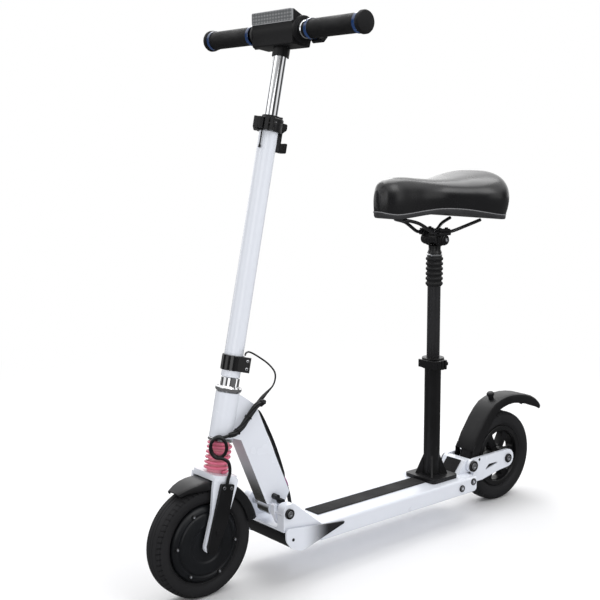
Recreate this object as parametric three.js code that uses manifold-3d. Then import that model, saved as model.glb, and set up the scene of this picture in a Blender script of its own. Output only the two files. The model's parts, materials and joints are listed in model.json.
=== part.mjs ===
// Seated electric scooter in millimetres: +Z up, driving towards -Y, +X on the rider's left.
// Each assembly is built in a frame of its own: the steering along its tilted axis, the neck round
// the fold pivot, the deck from its top front edge, the rear arm round its pivot, the seat on its post.
import * as THREE from 'three';
import { mergeVertices } from 'three/addons/utils/BufferGeometryUtils.js';
import Module from 'manifold-3d';

const degree = Math.PI / 180;

// Clearances and facets
const fit = 0.3;
const overrun = 3;
const facetLength = 7;
const weld = 0.0005;

// Wheels
const wheelRadius = 100;
const wheelSides = 48;
const axleHeight = wheelRadius * Math.cos(Math.PI / wheelSides);
const frontTyre = { bead: 70, halfWidth: 23 };
const rearTyre = { bead: 68, halfWidth: 20 };
const tyreSideShares = [[0, 0.7], [0.25, 0.97], [0.62, 1], [0.88, 0.85], [1, 0.565]];
const hub = { halfWidth: 26, split: 15, dish: 2.2, dishRadius: 34, rimStep: 7, bevel: 6, boltRadius: 4,
  boltCircle: 61.4, boltCount: 6, boltPhase: 115 * degree, boltProud: 0.6 };
const frontAxle = { radius: 7.7, nutRadius: 9.5, nutWidth: 5.7, capRadius: 6.2, capWidth: 4.5, stubRadius: 4 };
const rearRim = { inner: 58, lip: 15, web: 8, hubRadius: 22, hubHalf: 27, spokeWidth: 17, spokeCount: 6,
  windowFillet: 6 };
const rearAxle = { radius: 6, headRadius: 9.5, headWidth: 3.7 };

// Steering axis, fork and suspension
const rake = 12 * degree;
const forkOffset = 12.42;
const leg = { inner: 29, thick: 6, topHalf: 26, shoulder: 106, waistFront: 20.6, waistHeight: 56, tip: 12.5,
  kneeRear: 16, kneeHeight: 48 };
const frontFender = { radius: 114, thick: 2.6, halfWidth: 27.5, shoulder: 7, rear: 25 * degree,
  front: 130 * degree, skirtRear: 22, skirtFront: 12, skirtTip: 4, stations: 15 };
const crown = { halfWidth: 36, halfLength: 26, thick: 10.2, fillet: 10 };
const slider = { radius: 11, length: 105 };
const forkCover = { thick: 6.7, top: 111, topFront: 13, topRear: 14.4, footFront: 20.6, footDrop: 13.5,
  wall: 1.6, screwRadius: 3, screwProud: 1, screwDrop: 6.5, screwInset: 6, markRadius: 5, markHeight: 26,
  fillet: 3 };
const spring = { radius: 20, wire: 2.6, travel: 20, length: 56, mainTurns: 4.5, endTurns: 0.75,
  endGap: 0.7, sides: 5, stepsPerTurn: 8 };
const steerer = { flangeRadius: 23, flangeThick: 5.5, radius: 14, bore: 11.4, upperRadius: 13,
  shoulder: 112, length: 179 };
const bearing = { wall: 2.9, height: 7 };
const headTube = { length: 81, wall: 3, bearingInset: 1 };
const headsetNut = { lowRadius: 19, lowHeight: 9.4, flangeRadius: 23.5, flangeHeight: 6, topRadius: 17.5,
  topHeight: 11, notchCount: 8, notchWidth: 6, notchDepth: 2 };
const outerStem = { radius: 17, bore: 13.3, length: 461 };
const stemCollar = { start: 12, height: 27, wall: 2.6, earReach: 15, earThick: 9, screwRadius: 2.6,
  screwProud: 0.8, screwSpread: 7 };
const viewTurn = -40 * degree;

// Height adjustment
const innerTube = { radius: 12.75, bore: 11, length: 333, inside: 197 };
const clamp = { height: 23.6, below: 23, wall: 5.2, slit: 3, earReach: 9, earThick: 7.5, boltRadius: 2.5,
  headRadius: 4.6, headThick: 4, bushWall: 2.8, bushHeight: 3.5, bushGap: 2, postWidth: 8, dropPin: 1.3,
  dropPinLength: 26, dropTip: 2.3, dropTipLength: 5 };
const clampLever = { barrel: 6, heel: 2.6, barrelHeight: 19, bladeThick: 5, bladeHeight: 17, bladeLength: 50,
  prongLength: 13, prongGap: 7, fillet: 3 };
const hook = { halfWidth: 7, bracketHeight: 18, bracketReach: 12, stripThick: 3.5, drop: 31, gap: 8,
  floor: 5.5, blockThick: 6.5, blockHeight: 18, fillet: 3 };

// Head and handlebar
const head = { halfWidth: 56, bossRadius: 24, bossLength: 6, above: 17.6, axisForward: 5,
  collarRadius: 15.5, collarLength: 14.5 };
const headSideShares = [[-0.60, 0.52], [-0.34, -0.47], [0.44, -0.43], [0.48, 0.26]];
const headSize = { length: 50, height: 60, fillet: 3 };
const lens = { depth: 3.5, height: 20, inset: 2 };
const display = { halfWidth: 23, length: 34, start: 10, thick: 2.6, sunk: 1.6, fillet: 4 };
const powerButton = { radius: 5, height: 4, proud: 1.6, travel: 1, aside: 39, back: 28, bevel: 0.8 };
const bar = { radius: 11, bore: 9, halfLength: 214, ringRadius: 15.5, ringLength: 5.7 };
const lever = { width: 9.4, hubRadius: 15, armReach: 20, paddleThick: 7, paddleWidth: 27, paddleHeight: 15,
  droop: 32 * degree, fillet: 2.4 };
const grip = { radius: 16.5, ringRadius: 17.5, ringLength: 8, outerRing: 10, capRadius: 19.5, capLength: 8,
  capWall: 1.8, capBevel: 2 };

// Neck and fold joint
const neckLean = 23.3 * degree;
const foldPivot = { behind: 135.1, above: 61 };
const neck = { halfWidth: 17, rear: 43, front: 11.5, top: 200, frontTop: 160, foot: 8, wall: 3, barrel: 14,
  footInset: 20, hollowTop: 150, gussetInset: 3 };
const foldBolt = { radius: 5, headRadius: 9, headThick: 4.7, washerRadius: 6.5, spacer: 6 };
const latchPin = { radius: 5.5, length: 12.7, plate: 1.8, upperBehind: -1.5, upperAbove: 23.4,
  lowerBehind: 10.4, lowerAbove: 12.4 };
const latch = { thick: 10, pinRadius: 3, pinLength: 14, headRadius: 4.5, headThick: 1.8, forward: 11 };
const latchShares = [[-0.12, 0.34], [0.08, 0.39], [0.09, 0], [0.12, -0.2], [0.37, -0.55], [0.18, -0.68],
  [-0.11, -0.11]];
const latchHeight = 38;

// Deck, measured from its top front edge
const deck = { length: 404, halfWidth: 62, height: 33, wall: 2.5, fillet: 5, pivotForward: 79, pivotAbove: 38 };
const nose = { outer: 60, slotHalf: 42, front: 91.5, cheekTop: 17, lip: 9, footFront: 76, footRear: 46,
  plug: 26, bevel: 12, slotEnd: 14 };
const plugClear = deck.wall + fit;
const sideCover = { thick: 3.7, front: 90, top: 12, tip: 54, tipTop: -6, tipLow: -10, low: -38, lowBack: 52,
  fillet: 22, screwRadius: 2.4, screwBack: 16, screwDrop: 23, screwProud: 0.7 };
const pedal = { halfWidth: 57, wall: 4, lugThick: 2.7, pin: 3, barrel: 5.5, hingeForward: 58, hingeDrop: 27 };
const pedalShares = [[0.52, 1.06], [0.6, 0.94], [0.36, 0.02], [0.1, -0.18], [-0.12, -0.13]];
const pedalReach = { length: 53, height: 28 };
const strip = { halfWidth: 19.5, thick: 1.7, front: 26, topInset: 2, pressed: 0.5 };
const battery = { halfWidth: 50, start: 28 };
const controller = { halfWidth: 36, gap: 8, length: 66, height: 22, rearGap: 12 };

// Rear block, arm and fender
const rearBlock = { length: 32.7, plug: 40, upperHalf: 30, rampStart: 8, rampRise: 27, rampRun: 24,
  nose: 13, bevel: 7, boltRadius: 4, headRadius: 7, headProud: 2.6, plugBoltBack: 14.5, plugBoltDrop: 16.8,
  blockBoltBack: 21.8, blockBoltDrop: 9.6 };
const arm = { inner: 31, thick: 7, pivotBack: 47, pivotAbove: 14, reach: 117, pivotRadius: 14, axleRadius: 20,
  topEdge: 15, footDrop: 37, footStart: 2, footEnd: 32, waistBack: 88, waistDrop: 27, bridgeLength: 12,
  bridgeHeight: 15, fillet: 3, boltRadius: 6, boltHead: 11.5, boltHeadThick: 4.7 };
const armWindowShares = [[0.46, -0.05], [0.8, -0.06], [0.33, -0.154]];
const bush = { radius: 10.7 };
const rearFender = { halfWidth: 26, thick: 2.2, shoulder: 7, forward: 14.9, foot: 27, length: 235.1, height: 105,
  skirt: 25, stubBack: 22, stubAbove: 10, stub: 3, ear: 7, earTop: 38, knobAt: 0.45, knobStem: 6, knobHead: 8.5,
  knobHeight: 16, stations: 16 };
const rearFenderShares = [[0, 0], [0.038, 0.229], [0.106, 0.438], [0.192, 0.682], [0.302, 0.893],
  [0.438, 0.982], [0.578, 1.0], [0.724, 0.958], [0.855, 0.875], [0.95, 0.75], [1, 0.619]];
const rearSkirtShares = [0.92, 1, 1, 0.96, 0.88, 0.8, 0.78, 0.85, 0.9, 0.76, 0.45];

// Seat
const socket = { inset: 42, halfWidth: 42, halfLength: 38, plate: 8, radius: 17, height: 245.7, fillet: 8, gusset: 4,
  gussetHeight: 42, gussetReach: 17, slot: 2.4, slotDepth: 30 };
const post = { radius: 13.6, wall: 2.1, lowest: 162.7, length: 243, bushWall: 0.2 };
const postClamp = { height: 22, wall: 5.7, lift: 6, slit: 3, earReach: 10, earThick: 7, bolt: 2.5 };
const postLever = { barrel: 6, heel: 2.5, thick: 5, length: 44, height: 16, fillet: 3 };
const bellows = { length: 66, below: 8, rib: 18, valley: 15.5, inner: 13.9, ribs: 6 };
const seatHead = { plunger: 11.2, plungerDepth: 44, ring: 15.5, ringHeight: 4.7, block: 13, blockLength: 44,
  barrel: 9, barrelAbove: 37, barrelHalf: 27, railSeat: 50, lowFillet: 3, topFillet: 1.5 };
const rail = { radius: 3.5, clampHalf: 23, clampLength: 30, rearHalf: 42, rearBack: 92, rearRise: 20.5,
  noseForward: 108, noseRise: 28, noseHalf: 12, steps: 60 };
const saddle = { length: 300, forward: 165, halfWidth: 116, crownHeight: 80, baseDrop: 9, acrossCount: 16,
  tuckShare: 0.16, squareShare: 0.72 };
// Along the saddle from nose to tail: place, half width, edge height and top height
const saddleShares = [[0, 0.1, 0.17, 0.7], [0.035, 0.2, 0.13, 0.88], [0.1, 0.285, 0.1, 0.98],
  [0.21, 0.32, 0.12, 1], [0.35, 0.37, 0.17, 0.96], [0.48, 0.48, 0.2, 0.93], [0.61, 0.7, 0.17, 0.95],
  [0.73, 0.91, 0.09, 1.02], [0.84, 1, 0.02, 1.09], [0.92, 0.95, 0, 1.12], [0.97, 0.78, 0, 1.06],
  [1, 0.5, 0.03, 0.85]];

// Cables: radii, and routes of points chosen by hand along the photographed run
const cable = { thin: 1.6, sleeve: 3.7, sheath: 3.6, grommet: 4.8, bundle: 6, strand: 3, sides: 8 };
const stemCableRoute = [[23, 89.5, 425.4], [22, 92.5, 429.5], [17, 104, 429], [9, 128, 417], [3, 158, 397],
  [0, 175, 377], [0, 171, 357], [0, 152, 342], [0, 141, 333.5], [0, 131.3, 325]];
const stemSleeveStart = 7;
const neckCableRoute = [[0, 130.9, 324.3], [0, 127.6, 320.4], [0, 127.9, 315], [0, 133.4, 304], [0, 157, 248.8], [0, 182.7, 189.2],
  [0, 190, 175], [0, 194.5, 167.5], [0, 199, 158],  [0, 203, 147], [0, 207, 130], [0, 211, 104.5]];
const neckGrommetPoints = [6, 9];
const harnessRoute = [[18, 134, 333], [24.5, 127, 335], [26, 114, 333], [26.5, 98, 320], [28, 84, 306.5],
  [29.6, 71, 297], [30.2, 59.5, 291.2], [28.05, 48.95, 288.6]];
const coil = { across: 14, tall: 18, turns: 1.6, gap: 0.9, centre: [23.5, 29, 270], start: 62 * degree,
  stepsPerTurn: 24, sides: 6, lead: [4.2, 10.5, 2.5] };
const motorCableRoute = [[28.3, 26.2, 252], [33, 31, 251.2], [38.4, 39, 244], [39.5, 41, 228], [39.5, 36.8, 214],
  [39.5, 34.8, 206.6]];

const wasm = await Module();
wasm.setup();

// Shapes
const rodSides = (radius) => Math.min(28, Math.max(8, 4 * Math.round(Math.PI * radius / facetLength / 2)));
const boreFor = (radius) => (radius + fit) / Math.cos(Math.PI / rodSides(radius));

function arc(across, up, radius, from, to, steps = 8) {
  return Array.from({ length: steps + 1 }, (_, step) => {
    const angle = from + (to - from) * step / steps;
    return [across + radius * Math.cos(angle), up + radius * Math.sin(angle)];
  });
}

function circle(across, up, radius, sides = rodSides(radius)) {
  return arc(across, up, radius, 0, 2 * Math.PI, sides).slice(0, -1);
}

// An outline from corners [across, up, fillet radius]; a fillet never takes more than its sides hold
function outline(corners) {
  return corners.flatMap(([across, up, radius = 0], place) => {
    const corner = new THREE.Vector2(across, up);
    if (!radius) {
      return [corner];
    }
    const [before, after] = [-1, 1].map((step) => corners[(place + step + corners.length) % corners.length]);
    const back = new THREE.Vector2(...before).sub(corner);
    const onward = new THREE.Vector2(...after).sub(corner);
    const room = 0.45 * Math.min(back.length(), onward.length());
    back.normalize();
    onward.normalize();
    const half = Math.acos(THREE.MathUtils.clamp(back.dot(onward), -1, 1)) / 2;
    const reach = Math.min(radius / Math.tan(half), room);
    const centre = back.clone().add(onward).setLength(reach / Math.cos(half)).add(corner);
    const start = corner.clone().addScaledVector(back, reach).sub(centre);
    const sweep = Math.sign(back.cross(start)) * (Math.PI - 2 * half);
    return [0, 0.25, 0.5, 0.75, 1].map((share) => start.clone().rotateAround(new THREE.Vector2(), share * sweep)
      .add(centre));
  });
}

const vectors = (points) => points.map((point) => (point.isVector2 ? point : new THREE.Vector2(...point)));

function extruded(points, depth, holes) {
  const border = vectors(points);
  const shape = new THREE.Shape(THREE.ShapeUtils.isClockWise(border) ? border.reverse() : border);
  shape.holes = holes.map((hole) => new THREE.Path(vectors(hole)));
  return new THREE.ExtrudeGeometry(shape, { depth, bevelEnabled: false });
}

const [axisX, axisY, axisZ] = [[1, 0, 0], [0, 1, 0], [0, 0, 1]].map((axis) => new THREE.Vector3(...axis));

// Plates: side plates lie in Y and Z, top plates in X and Y, front plates in X and Z
function sidePlate(points, from, to, holes = []) {
  return extruded(points, to - from, holes)
    .applyMatrix4(new THREE.Matrix4().makeBasis(axisY, axisZ, axisX)).translate(from, 0, 0);
}

function topPlate(points, from, to, holes = []) {
  return extruded(points, to - from, holes).translate(0, 0, from);
}

function frontPlate(points, from, to, holes = []) {
  return extruded(points, to - from, holes).rotateX(Math.PI / 2).translate(0, to, 0);
}

function rectangle(left, right, low, high, fillet = 0) {
  return outline([[left, low, fillet], [right, low, fillet], [right, high, fillet], [left, high, fillet]]);
}

const block = (left, right, front, rear, low, high) => sidePlate(rectangle(front, rear, low, high), left, right);

// A profile of [radius, place along the axis], turned round X, Y or Z
function revolve(profile, axis = 'z', sides = rodSides(Math.max(...profile.map(([radius]) => radius)))) {
  const points = vectors(profile);
  if (THREE.ShapeUtils.area(points) < 0) {
    points.reverse();
  }
  if (points[0].x > 0) {
    points.push(points[0].clone());
  }
  const shape = new THREE.LatheGeometry(points, sides);
  return axis === 'z' ? shape.rotateX(Math.PI / 2) : axis === 'x' ? shape.rotateZ(-Math.PI / 2) : shape;
}

function rod(radius, from, to, axis = 'z', sides = rodSides(radius)) {
  return revolve([[0, from], [radius, from], [radius, to], [0, to]], axis, sides);
}

function ring(outer, inner, from, to, axis = 'z') {
  return revolve([[inner, from], [outer, from], [outer, to], [inner, to]], axis);
}

const spline = (points) => new THREE.CatmullRomCurve3(
  points.map((point) => (point.isVector3 ? point : new THREE.Vector3(...point))), false, 'centripetal');

function tube(curve, radius, sides, steps) {
  return new THREE.ExtrudeGeometry(new THREE.Shape(vectors(circle(0, 0, radius, sides))),
    { steps, extrudePath: curve, bevelEnabled: false });
}

function cord(points, radius) {
  const curve = spline(points);
  return tube(curve, radius, cable.sides, Math.max(3, Math.round(curve.getLength() / (5 * radius))));
}

// A closed skin between two grids of points of the same size
function skin(outer, inner) {
  const rows = outer.length;
  const columns = outer[0].length;
  const corner = (side, row, column) => (side * rows + row) * columns + column;
  const faces = [];
  const quad = (a, b, c, d) => faces.push(a, b, c, a, c, d);
  for (let row = 0; row < rows - 1; row += 1) {
    for (let column = 0; column < columns - 1; column += 1) {
      quad(corner(0, row, column), corner(0, row + 1, column),
        corner(0, row + 1, column + 1), corner(0, row, column + 1));
      quad(corner(1, row, column), corner(1, row, column + 1),
        corner(1, row + 1, column + 1), corner(1, row + 1, column));
    }
    quad(corner(0, row, 0), corner(1, row, 0), corner(1, row + 1, 0), corner(0, row + 1, 0));
    quad(corner(0, row, columns - 1), corner(0, row + 1, columns - 1),
      corner(1, row + 1, columns - 1), corner(1, row, columns - 1));
  }
  for (let column = 0; column < columns - 1; column += 1) {
    quad(corner(0, 0, column), corner(0, 0, column + 1), corner(1, 0, column + 1), corner(1, 0, column));
    quad(corner(0, rows - 1, column), corner(1, rows - 1, column),
      corner(1, rows - 1, column + 1), corner(0, rows - 1, column + 1));
  }
  const geometry = new THREE.BufferGeometry().setFromPoints([...outer.flat(), ...inner.flat()]);
  geometry.setIndex(faces);
  return geometry;
}

// Joins and cuts
function solidOf(geometry) {
  const bare = new THREE.BufferGeometry();
  bare.setAttribute('position', geometry.getAttribute('position'));
  bare.setIndex(geometry.getIndex());
  const merged = mergeVertices(bare, weld);
  const vertProperties = merged.getAttribute('position').array;
  const index = merged.getIndex().array;
  const [a, b, c] = [0, 1, 2].map(() => new THREE.Vector3());
  const faces = [];
  let volume = 0;
  for (let face = 0; face < index.length; face += 3) {
    const [first, second, third] = index.slice(face, face + 3);
    if (first !== second && second !== third && third !== first) {
      faces.push(first, second, third);
      a.fromArray(vertProperties, 3 * first);
      b.fromArray(vertProperties, 3 * second);
      c.fromArray(vertProperties, 3 * third);
      volume += a.dot(b.cross(c));
    }
  }
  if (volume < 0) {
    faces.reverse();
  }
  return new wasm.Manifold(new wasm.Mesh({ numProp: 3, vertProperties, triVerts: new Uint32Array(faces) }));
}

function geometryOf(solid) {
  const mesh = solid.getMesh();
  const geometry = new THREE.BufferGeometry();
  geometry.setAttribute('position', new THREE.BufferAttribute(mesh.vertProperties.slice(), 3));
  geometry.setIndex(new THREE.BufferAttribute(mesh.triVerts.slice(), 1));
  return geometry;
}

const join = (...shapes) => geometryOf(shapes.map(solidOf).reduce((whole, next) => whole.add(next)));
const cut = (shape, ...tools) => geometryOf(tools.map(solidOf).reduce((whole, tool) => whole.subtract(tool),
  solidOf(shape)));
const bothSides = (shape) => [shape, shape.clone().scale(-1, 1, 1)];

// Finishes
const paint = (color, roughness, metalness) => ({ color, roughness, metalness });
const finish = {
  white: paint(0xe9ecf5, 0.35, 0.1),
  black: paint(0x1a1b1e, 0.5, 0.2),
  chrome: paint(0xc9cbd0, 0.14, 1),
  steel: paint(0x9a9ca2, 0.35, 0.9),
  rubber: paint(0x191a1c, 0.85, 0),
  tyre: paint(0x202124, 0.9, 0),
  plastic: paint(0x222326, 0.55, 0),
  vinyl: paint(0x121214, 0.25, 0),
  pink: paint(0xe0607f, 0.35, 0.3),
  window: paint(0xd9dce2, 0.12, 0),
  glass: paint(0x0b0c10, 0.05, 0),
  grey: paint(0x75777d, 0.6, 0.2),
};

function piece(name, shape, look, parent) {
  const mesh = new THREE.Mesh(geometryOf(solidOf(shape)), new THREE.MeshStandardMaterial(look));
  mesh.name = name;
  parent.add(mesh);
}

function frame(parent, x, y, z, tilt = 0, turn = 0) {
  const group = new THREE.Group();
  group.position.set(x, y, z);
  group.rotation.set(tilt, 0, turn);
  parent.add(group);
  return group;
}

// Frames: steering axis, fold pivot, deck, rear arm and seat
const scooter = new THREE.Group();
const steeringOrigin = new THREE.Vector2(forkOffset * Math.cos(rake), axleHeight - forkOffset * Math.sin(rake));
const steering = frame(scooter, 0, steeringOrigin.x, steeringOrigin.y, -rake);
const steeringPoint = (behind, above) => new THREE.Vector2(behind, above).rotateAround(new THREE.Vector2(), -rake)
  .add(steeringOrigin);
const pivot = steeringPoint(foldPivot.behind, foldPivot.above);
const neckFrame = frame(scooter, 0, pivot.x, pivot.y, neckLean);
const deckFront = pivot.x + deck.pivotForward;
const deckTop = pivot.y - deck.pivotAbove;
const deckFrame = frame(scooter, 0, deckFront, deckTop);
const armFrame = frame(deckFrame, 0, deck.length + arm.pivotBack, arm.pivotAbove);
const wheelDrop = axleHeight - deckTop - arm.pivotAbove;
const rearWheel = frame(armFrame, 0, arm.reach, wheelDrop);
const frontWheel = frame(steering, 0, -forkOffset, 0, rake);
const seatBack = deck.length - socket.inset;
const seatFrame = frame(deckFrame, 0, seatBack, 0);

// Front wheel with its hub motor
function tyre(size) {
  const side = tyreSideShares.map(([rise, width]) => [
    size.bead + rise * (wheelRadius - size.bead), width * size.halfWidth]);
  return revolve([...side, ...side.map(([radius, across]) => [radius, -across]).reverse()], 'x', wheelSides)
    .rotateX(Math.PI / wheelSides);
}

const hubRadius = frontTyre.bead - 2 * fit;
const hubBore = boreFor(frontAxle.radius);
const coverSplit = hub.split + fit;

function hubMotor() {
  const { halfWidth, dish, dishRadius, bevel, rimStep } = hub;
  return revolve([[hubBore, hub.split], [hubBore, -halfWidth + dish], [dishRadius - dish, -halfWidth + dish],
    [dishRadius, -halfWidth], [hubRadius - bevel - rimStep, -halfWidth], [hubRadius, -halfWidth + bevel],
    [hubRadius, hub.split]], 'x');
}

function motorCover() {
  const { halfWidth, dish, dishRadius, rimStep } = hub;
  const shell = revolve([[hubBore, coverSplit], [hubRadius, coverSplit], [hubRadius, coverSplit + dish],
    [hubRadius - rimStep, halfWidth - dish], [dishRadius, halfWidth], [dishRadius - dish, halfWidth - dish],
    [hubBore, halfWidth - dish]], 'x');
  const bolts = Array.from({ length: hub.boltCount }, (_, place) => {
    const angle = hub.boltPhase + 2 * Math.PI * place / hub.boltCount;
    return rod(hub.boltRadius, coverSplit + dish, halfWidth + hub.boltProud, 'x')
      .translate(0, hub.boltCircle * Math.cos(angle), hub.boltCircle * Math.sin(angle));
  });
  return join(shell, ...bolts);
}

const legOuter = leg.inner + leg.thick;

function frontAxleShape() {
  const { radius, nutRadius, nutWidth, capRadius, capWidth, stubRadius } = frontAxle;
  const face = legOuter + fit;
  return join(rod(radius, -face - nutWidth, legOuter - fit, 'x'), rod(stubRadius, 0, face + capWidth, 'x'),
    rod(nutRadius, -face - nutWidth * 0.8, -face, 'x', 6), rod(capRadius, face, face + capWidth, 'x', 6));
}

piece('front_tyre', tyre(frontTyre), finish.tyre, frontWheel);
piece('front_hub_motor', hubMotor(), finish.plastic, frontWheel);
piece('front_motor_cover', motorCover(), finish.plastic, frontWheel);
piece('front_axle', frontAxleShape(), finish.steel, frame(steering, 0, -forkOffset, 0));

// Fork: two legs, crown and slider
const crownBottom = frontFender.radius + fit;
const crownTop = crownBottom + crown.thick;
const springTop = crownTop + spring.length;

function forkShape() {
  const { inner, topHalf, shoulder, waistFront, waistHeight, tip, kneeRear, kneeHeight } = leg;
  const top = crownBottom + crown.thick / 2;
  const side = [[-topHalf, top], [-topHalf, shoulder], [-waistFront, waistHeight],
    ...arc(-forkOffset, 0, tip, Math.PI, 2 * Math.PI), [kneeRear, kneeHeight], [topHalf, shoulder], [topHalf, top]];
  const hole = circle(-forkOffset, 0, boreFor(frontAxle.radius));
  const crownOutline = rectangle(-crown.halfWidth, crown.halfWidth, -crown.halfLength, crown.halfLength,
    crown.fillet);
  return join(...bothSides(sidePlate(side, inner, legOuter, [hole])),
    topPlate(crownOutline, crownBottom, crownTop),
    rod(slider.radius, crownTop - crown.thick / 2, crownTop + slider.length));
}

function forkCoverShape() {
  const { thick, top, topFront, topRear, footFront, footDrop, fillet, screwRadius, screwProud } = forkCover;
  const face = legOuter + fit;
  const side = outline([[-topFront, top, fillet], [topRear, top, fillet], [leg.kneeRear - fillet, leg.kneeHeight],
    [0, 0], [-fillet, -footDrop, 2 * fillet], [-footFront + fillet, -footDrop, 2 * fillet], [-footFront, 0]]);
  const pocket = rod(frontAxle.capRadius + 2 * fit, face - overrun, face + frontAxle.capWidth + fit, 'x')
    .translate(0, -forkOffset, 0);
  const raised = (behind, above, radius) => rod(radius, face + thick / 2, face + thick + screwProud, 'x')
    .translate(0, behind, above);
  const screws = [-topFront + forkCover.screwInset, topRear - forkCover.screwInset]
    .map((behind) => raised(behind, top - forkCover.screwDrop, screwRadius));
  return join(cut(sidePlate(side, face, face + thick), pocket), ...screws,
    raised(-forkCover.markRadius, forkCover.markHeight, forkCover.markRadius));
}

// A mudguard from stations along its ridge: place, outward direction, skirt depth and half width
function mudguard(stations, thick, shoulder) {
  const surface = (sunk) => stations.map(({ place, outward, skirt, halfWidth }) => {
    const half = halfWidth - sunk;
    const round = Math.min(shoulder, half / 2);
    const side = [[half, -skirt], [half, -sunk - round], [half - 0.3 * round, -sunk - 0.3 * round],
      [half - round, -sunk]];
    return [...side, ...side.map(([across, depth]) => [-across, depth]).reverse()].map(([across, depth]) => {
      const point = place.clone().addScaledVector(outward, depth);
      return new THREE.Vector3(across, point.x, point.y);
    });
  });
  return skin(surface(0), surface(thick));
}

function frontFenderShape() {
  const { radius, rear, front, skirtRear, skirtFront, skirtTip, stations, halfWidth } = frontFender;
  const line = Array.from({ length: stations }, (_, step) => {
    const share = step / (stations - 1);
    const outward = new THREE.Vector2(1, 0).rotateAround(new THREE.Vector2(), rear + (front - rear) * share);
    const late = Math.max(0, (share - 0.75) / 0.25);
    const skirt = THREE.MathUtils.lerp(skirtRear + (skirtFront - skirtRear) * share, skirtTip, late ** 2);
    return { place: outward.clone().multiplyScalar(radius), outward, skirt,
      halfWidth: halfWidth * (1 - 0.35 * late ** 2) };
  });
  return mudguard(line, frontFender.thick, frontFender.shoulder);
}

// One unbroken wire with closed end turns, measured for its least gap to itself
function springWire() {
  const { radius, wire, length, mainTurns, endTurns, endGap, stepsPerTurn } = spring;
  const endRise = (2 * wire + endGap) * endTurns;
  const wound = length - 2 * (wire + fit);
  const mainRise = wound - 2 * endRise;
  const turns = mainTurns + 2 * endTurns;
  const steps = Math.round(turns * stepsPerTurn * 4);
  const points = Array.from({ length: steps + 1 }, (_, step) => {
    const turn = turns * step / steps;
    const low = Math.min(turn, endTurns) / endTurns;
    const middle = THREE.MathUtils.clamp(turn - endTurns, 0, mainTurns) / mainTurns;
    const high = Math.max(0, turn - endTurns - mainTurns) / endTurns;
    const angle = 2 * Math.PI * turn;
    return new THREE.Vector3(radius * Math.cos(angle), radius * Math.sin(angle),
      wire + fit + endRise * low + mainRise * middle + endRise * high);
  });
  return { points, turns };
}

function leastGap(points, radius, skip) {
  let least = Infinity;
  points.forEach((point, place) => {
    for (let other = place + skip; other < points.length; other += 1) {
      least = Math.min(least, point.distanceTo(points[other]));
    }
  });
  return least - 2 * radius;
}

function springShape() {
  const { points, turns } = springWire();
  const skip = Math.round(points.length / turns / 2);
  console.log(`least gap between spring turns ${leastGap(points, spring.wire, skip).toFixed(2)} mm`);
  return tube(spline(points), spring.wire, spring.sides, Math.round(turns * spring.stepsPerTurn));
}

piece('fork', forkShape(), finish.white, steering);
piece('fork_cover', forkCoverShape(), finish.plastic, steering);
piece('front_fender', frontFenderShape(), finish.plastic, frame(steering, 0, -forkOffset, 0));
piece('suspension_spring', springShape(), finish.pink, frame(steering, 0, 0, crownTop));

// Steerer, headset and outer stem
const flangeTop = springTop + steerer.flangeThick;
const headBottom = flangeTop + 2 * fit;
const headTop = headBottom + headTube.length;
const bearingInner = boreFor(steerer.radius);
const bearingOuter = bearingInner + bearing.wall;
const headBore = boreFor(bearingOuter);
const headRadius = headBore + headTube.wall;
const nutBottom = headTop + 2 * fit;
const nutTop = nutBottom + headsetNut.lowHeight + headsetNut.flangeHeight + headsetNut.topHeight;
const stemBottom = nutTop + 2 * fit;
const stemTop = stemBottom + outerStem.length;

function steererShape() {
  const { flangeRadius, radius, bore, upperRadius, shoulder, length } = steerer;
  return revolve([[bore, springTop], [flangeRadius, springTop], [flangeRadius, flangeTop], [radius, flangeTop],
    [radius, springTop + shoulder], [upperRadius, springTop + shoulder], [upperRadius, springTop + length],
    [bore, springTop + length]]);
}

function headsetNutShape() {
  const { lowRadius, lowHeight, flangeRadius, flangeHeight, topRadius } = headsetNut;
  const flange = nutBottom + lowHeight;
  const bore = boreFor(steerer.radius);
  const body = revolve([[bore, nutBottom], [lowRadius, nutBottom], [lowRadius, flange], [flangeRadius, flange],
    [flangeRadius, flange + flangeHeight], [topRadius, flange + flangeHeight], [topRadius, nutTop], [bore, nutTop]]);
  const coneTop = headTop - headTube.bearingInset;
  const cone = revolve([[bore, coneTop - bearing.height], [bearingOuter, coneTop - bearing.height],
    [bearingOuter, coneTop], [bearingOuter - fit, nutBottom + fit], [bore, nutBottom + fit]]);
  const notches = Array.from({ length: headsetNut.notchCount }, (_, place) => {
    const half = headsetNut.notchWidth / 2;
    return block(flangeRadius - headsetNut.notchDepth, flangeRadius + overrun, -half, half,
      flange - overrun, flange + flangeHeight + overrun).rotateZ(2 * Math.PI * place / headsetNut.notchCount);
  });
  return cut(join(body, cone), ...notches);
}

function stemCollarShape() {
  const { start, height, wall, earReach, earThick, screwRadius, screwProud, screwSpread } = stemCollar;
  const low = stemBottom + start;
  const inner = outerStem.radius + fit;
  const ear = block(inner + fit, outerStem.radius + earThick, -earThick / 2, inner + earReach, low, low + height)
    .translate(-earThick, 0, 0);
  const band = cut(join(ring(inner + wall, inner, low, low + height), ear),
    rod(inner, low - overrun, low + height + overrun));
  const screws = [-1, 1].map((side) => rod(screwRadius, 0, outerStem.radius + screwProud, 'x')
    .translate(0, inner + earReach - 2 * screwRadius, low + height / 2 + side * screwSpread));
  return join(band, ...screws).rotateZ(viewTurn);
}

piece('steerer', steererShape(), finish.chrome, steering);
const bearingLow = headBottom + headTube.bearingInset;
piece('headset_lower_bearing', ring(bearingOuter, bearingInner, bearingLow, bearingLow + bearing.height),
  finish.steel, steering);
piece('headset_nut', headsetNutShape(), finish.chrome, steering);
piece('stem_outer_tube', ring(outerStem.radius, outerStem.bore, stemBottom, stemTop), finish.white, steering);
piece('stem_collar', stemCollarShape(), finish.black, steering);

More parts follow.
